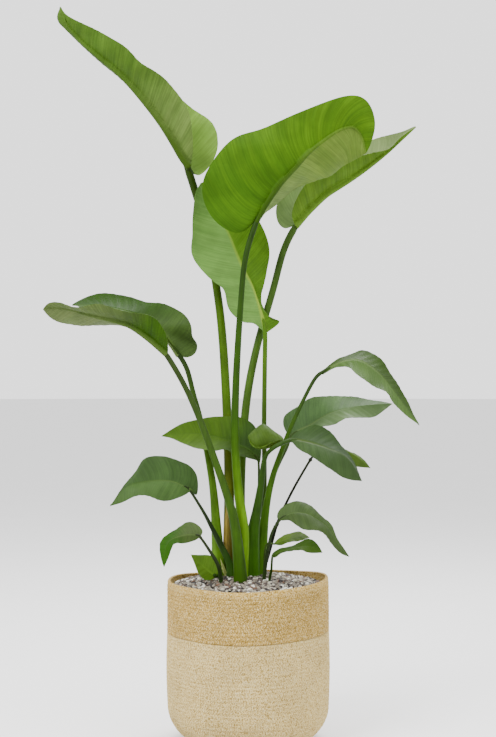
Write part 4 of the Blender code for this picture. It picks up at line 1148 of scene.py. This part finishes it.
def pebbleShapes():  # a few rounded cubes, each pulled out of true
    shapes = []
    for _ in range(stones["kinds"]):
        deselectAll()
        bpy.ops.mesh.primitive_cube_add(size=2, location=(0, 0, 0))
        pebble = bpy.context.object
        bpy.ops.object.mode_set(mode="EDIT")
        bpy.ops.mesh.select_all(action="SELECT")
        bpy.ops.mesh.subdivide(number_cuts=1, smoothness=1)
        bpy.ops.object.mode_set(mode="OBJECT")
        for vertex in pebble.data.vertices:
            vertex.co *= rng.uniform(0.80, 1.05)
        shapes.append(pebble.data.copy())
        bpy.data.objects.remove(pebble)
    return shapes


def stemSpots():  # where each stem stands among the stones, and its radius
    spots = []
    for leaf in leaves.values():
        if "stem" in leaf:
            (footX, footY, _), (nextX, nextY, _) = leaf["stem"][:2]
            spots.append(((nextX * 0.2 + footX * 0.8, nextY * 0.2 + footY * 0.8), leaf["radius"][0]))
    return spots


def buildStones():  # single stones over the whole top, in a spiral
    spots = stemSpots()
    shapes = pebbleShapes()
    heap = bmesh.new()
    shade = heap.verts.layers.float.new("shade")
    low, high = stones["sizes"]
    for i in range(stones["count"]):
        radius = stones["spread"] * math.sqrt((i + 0.5) / stones["count"])
        angle = i * stones["turn"] + rng.uniform(-0.3, 0.3)
        x, y = radius * math.cos(angle), radius * math.sin(angle)
        if any(math.dist((x, y), spot) < size + stones["clearance"] for spot, size in spots):
            continue
        size = low + (high - low) * rng.random() ** 1.6
        stretch = Matrix.Diagonal((size * rng.uniform(0.85, 1.25), size * rng.uniform(0.7, 1.0),
                                   size * rng.uniform(0.5, 0.85), 1))
        turn = Matrix.Rotation(rng.uniform(0, 6.28), 4, "Z") @ Matrix.Rotation(rng.uniform(-0.5, 0.5), 4, "X")
        z = stonesHeight(radius) - stones["sunk"] + rng.uniform(0, stones["unevenness"])
        first = len(heap.verts)
        heap.from_mesh(shapes[rng.randrange(len(shapes))])
        heap.verts.ensure_lookup_table()
        tone = rng.random()
        matrix = Matrix.Translation((x, y, z)) @ turn @ stretch
        for vertex in heap.verts[first:]:
            vertex.co = matrix @ vertex.co
            vertex[shade] = tone
    mesh = bpy.data.meshes.new("pebbles")
    heap.to_mesh(mesh)
    heap.free()
    pebbles = bpy.data.objects.new("pebbles", mesh)
    bpy.context.scene.collection.objects.link(pebbles)
    pebbles.data.materials.append(stoneFinish("gravel"))
    makeActive(pebbles)
    bpy.ops.object.shade_smooth_by_angle(angle=math.radians(50))
    finishPiece(pebbles, "small_stones", "stone_layer")


def buildGravelBed():  # the gravel below the top layer, up to the basket's wall
    radii = stones["bedRadii"]
    tops = [stonesHeight(r) - stones["bedDepth"] for r in radii]
    outline = [*zip(radii, tops), *[(r, stones["bedBottom"]) for r in (radii[-1], radii[3], radii[0])]]
    rows = len(outline) - 1

    def place(u, v):
        angle = 2 * np.pi * u
        r, z = np.array(outline)[np.rint(v * rows).astype(int)].T
        return np.stack([r * np.cos(angle), r * np.sin(angle), z], axis=1)

    bed = addGrid("gravelBed", 72, rows, place)
    setShade(bed, "shade", [rng.choice((0.05, 0.2, 0.4)) for _ in bed.data.vertices])
    closeUp(bed)
    bed.data.materials.append(stoneFinish("gravelBed"))
    finishPiece(bed, "small_stones")


buildStones()
buildGravelBed()
for nodeName, finish in (("nursery_pot", plasticFinish("blackPlastic")), ("soil", soilFinish("peat"))):
    nodes[nodeName].data.materials.clear()
    nodes[nodeName].data.materials.append(finish)
print("stones, soil and pot")


scales = {
    "brown_scale": {
        "midrib": [(-0.038, 0.012, 0.313), (-0.040, 0.015, 0.36), (-0.039, 0.021, 0.42),
                   (-0.037, 0.026, 0.465)],
        "left": [(-0.045, 0.014, 0.320), (-0.047, 0.017, 0.36), (-0.045, 0.025, 0.42)],
        "right": [(-0.031, 0.015, 0.320), (-0.032, 0.019, 0.36), (-0.032, 0.026, 0.42)],
        "face": (0, 1, 0),
        "tones": [(150, 132, 44), (110, 96, 32)],
        "slot": "dry_scale",
    },
    "pale_scale": {
        "midrib": [(-0.043, -0.024, 0.312), (-0.046, -0.026, 0.325), (-0.052, -0.026, 0.346)],
        "left": [(-0.047, -0.022, 0.316), (-0.050, -0.023, 0.327)],
        "right": [(-0.039, -0.023, 0.316), (-0.042, -0.024, 0.327)],
        "face": (0, 1, 0),
        "tones": [(196, 200, 140), (150, 170, 90)],
        "slot": "pale_scale",
    },
}


def dryFinish(name, lightTone, darkTone):  # papery fibre
    made, tree, shader = startMaterial(name)
    fibres = fibreNoise(tree, (500, 500, 25), 4.0, 0.7)
    base = mixColour(tree, softRange(tree, fibres, 0.35, 0.65), darkTone, lightTone)
    setSurface(tree, shader, base, 0.8)
    bump(tree, shader, fibres, 0.6, 0.001)
    return made


def buildScale(name, scale):
    rows = 24
    spine, margins, _, ups = bladeRails(scale, rows + 1)

    def place(u, v):
        row = np.rint(v * rows).astype(int)
        across = 2 * u - 1
        margin, up = ownHalf(across, row, margins, ups)
        reach = np.abs(across)
        span = margin - spine[row]
        width = np.linalg.norm(span, axis=1)
        lift = 0.3 * width * reach**2 + 0.0006 * np.sin(v * 31 + across * 3)
        return spine[row] + span * reach[:, None] + up * lift[:, None]

    sheet = addGrid(name.replace("_s", "S"), 12, rows, place)
    closeUp(sheet, bladeShape["merge"], turnOut=False)
    thick = sheet.modifiers.new("thickness", "SOLIDIFY")
    thick.thickness = 0.0006
    applyAll(sheet)
    bpy.ops.object.shade_smooth_by_angle(angle=math.radians(60))
    sheet.data.materials.append(dryFinish(name, *[tint(*tone) for tone in scale["tones"]]))
    finishPiece(sheet, scale["slot"], name)


for scaleName, scaleData in scales.items():
    buildScale(scaleName, scaleData)
print("dry scales")


studio = {
    "cameraAt": (0, -2.64, 0.70),
    "lens": 68.4,
    "worldStrength": 2.0,
    "floorRadius": 30,
    "floorTones": [(0.69, 0.69, 0.69, 1), (0.72, 0.72, 0.72, 1)],
    "lamps": {  # power, size, place and what it shines on
        "key": (170, 1.4, (-1.5, -1.8, 2.6), (0, 0, 0.7)),
        "fill": (40, 1.8, (2.0, -1.6, 1.3), (0, 0, 0.7)),
        "top": (120, 1.4, (0.5, 1.2, 2.7), (0, 0, 0.9)),
    },
}


def areaLight(name, power, size, place, target):
    deselectAll()
    bpy.ops.object.light_add(type="AREA", location=place)
    light = bpy.context.object
    light.name = name
    light.data.energy = power
    light.data.size = size
    light.rotation_euler = (Vector(target) - Vector(place)).to_track_quat("-Z", "Y").to_euler()


def buildStudio():
    deselectAll()
    bpy.ops.mesh.primitive_circle_add(vertices=96, radius=studio["floorRadius"], fill_type="NGON",
                                      location=(0, 0, -0.0005))
    floor = bpy.context.object
    floor.name = "floor"
    paint, tree, shader = startMaterial("floorPaint")
    setSurface(tree, shader, mixColour(tree, noise(tree, objectPlace(tree), 3.0), *studio["floorTones"]), 0.8)
    floor.data.materials.append(paint)
    for name, values in studio["lamps"].items():
        areaLight(name, *values)
    world = bpy.data.worlds.new("paleRoom")
    bpy.context.scene.world = world
    world.use_nodes = True
    background = world.node_tree.nodes["Background"]
    background.inputs[0].default_value = (1, 1, 1, 1)
    background.inputs[1].default_value = studio["worldStrength"]
    deselectAll()
    bpy.ops.object.camera_add(location=studio["cameraAt"], rotation=(math.pi / 2, 0, 0))
    camera = bpy.context.object
    camera.data.sensor_width = 36
    camera.data.lens = studio["lens"]
    bpy.context.scene.camera = camera


buildStudio()
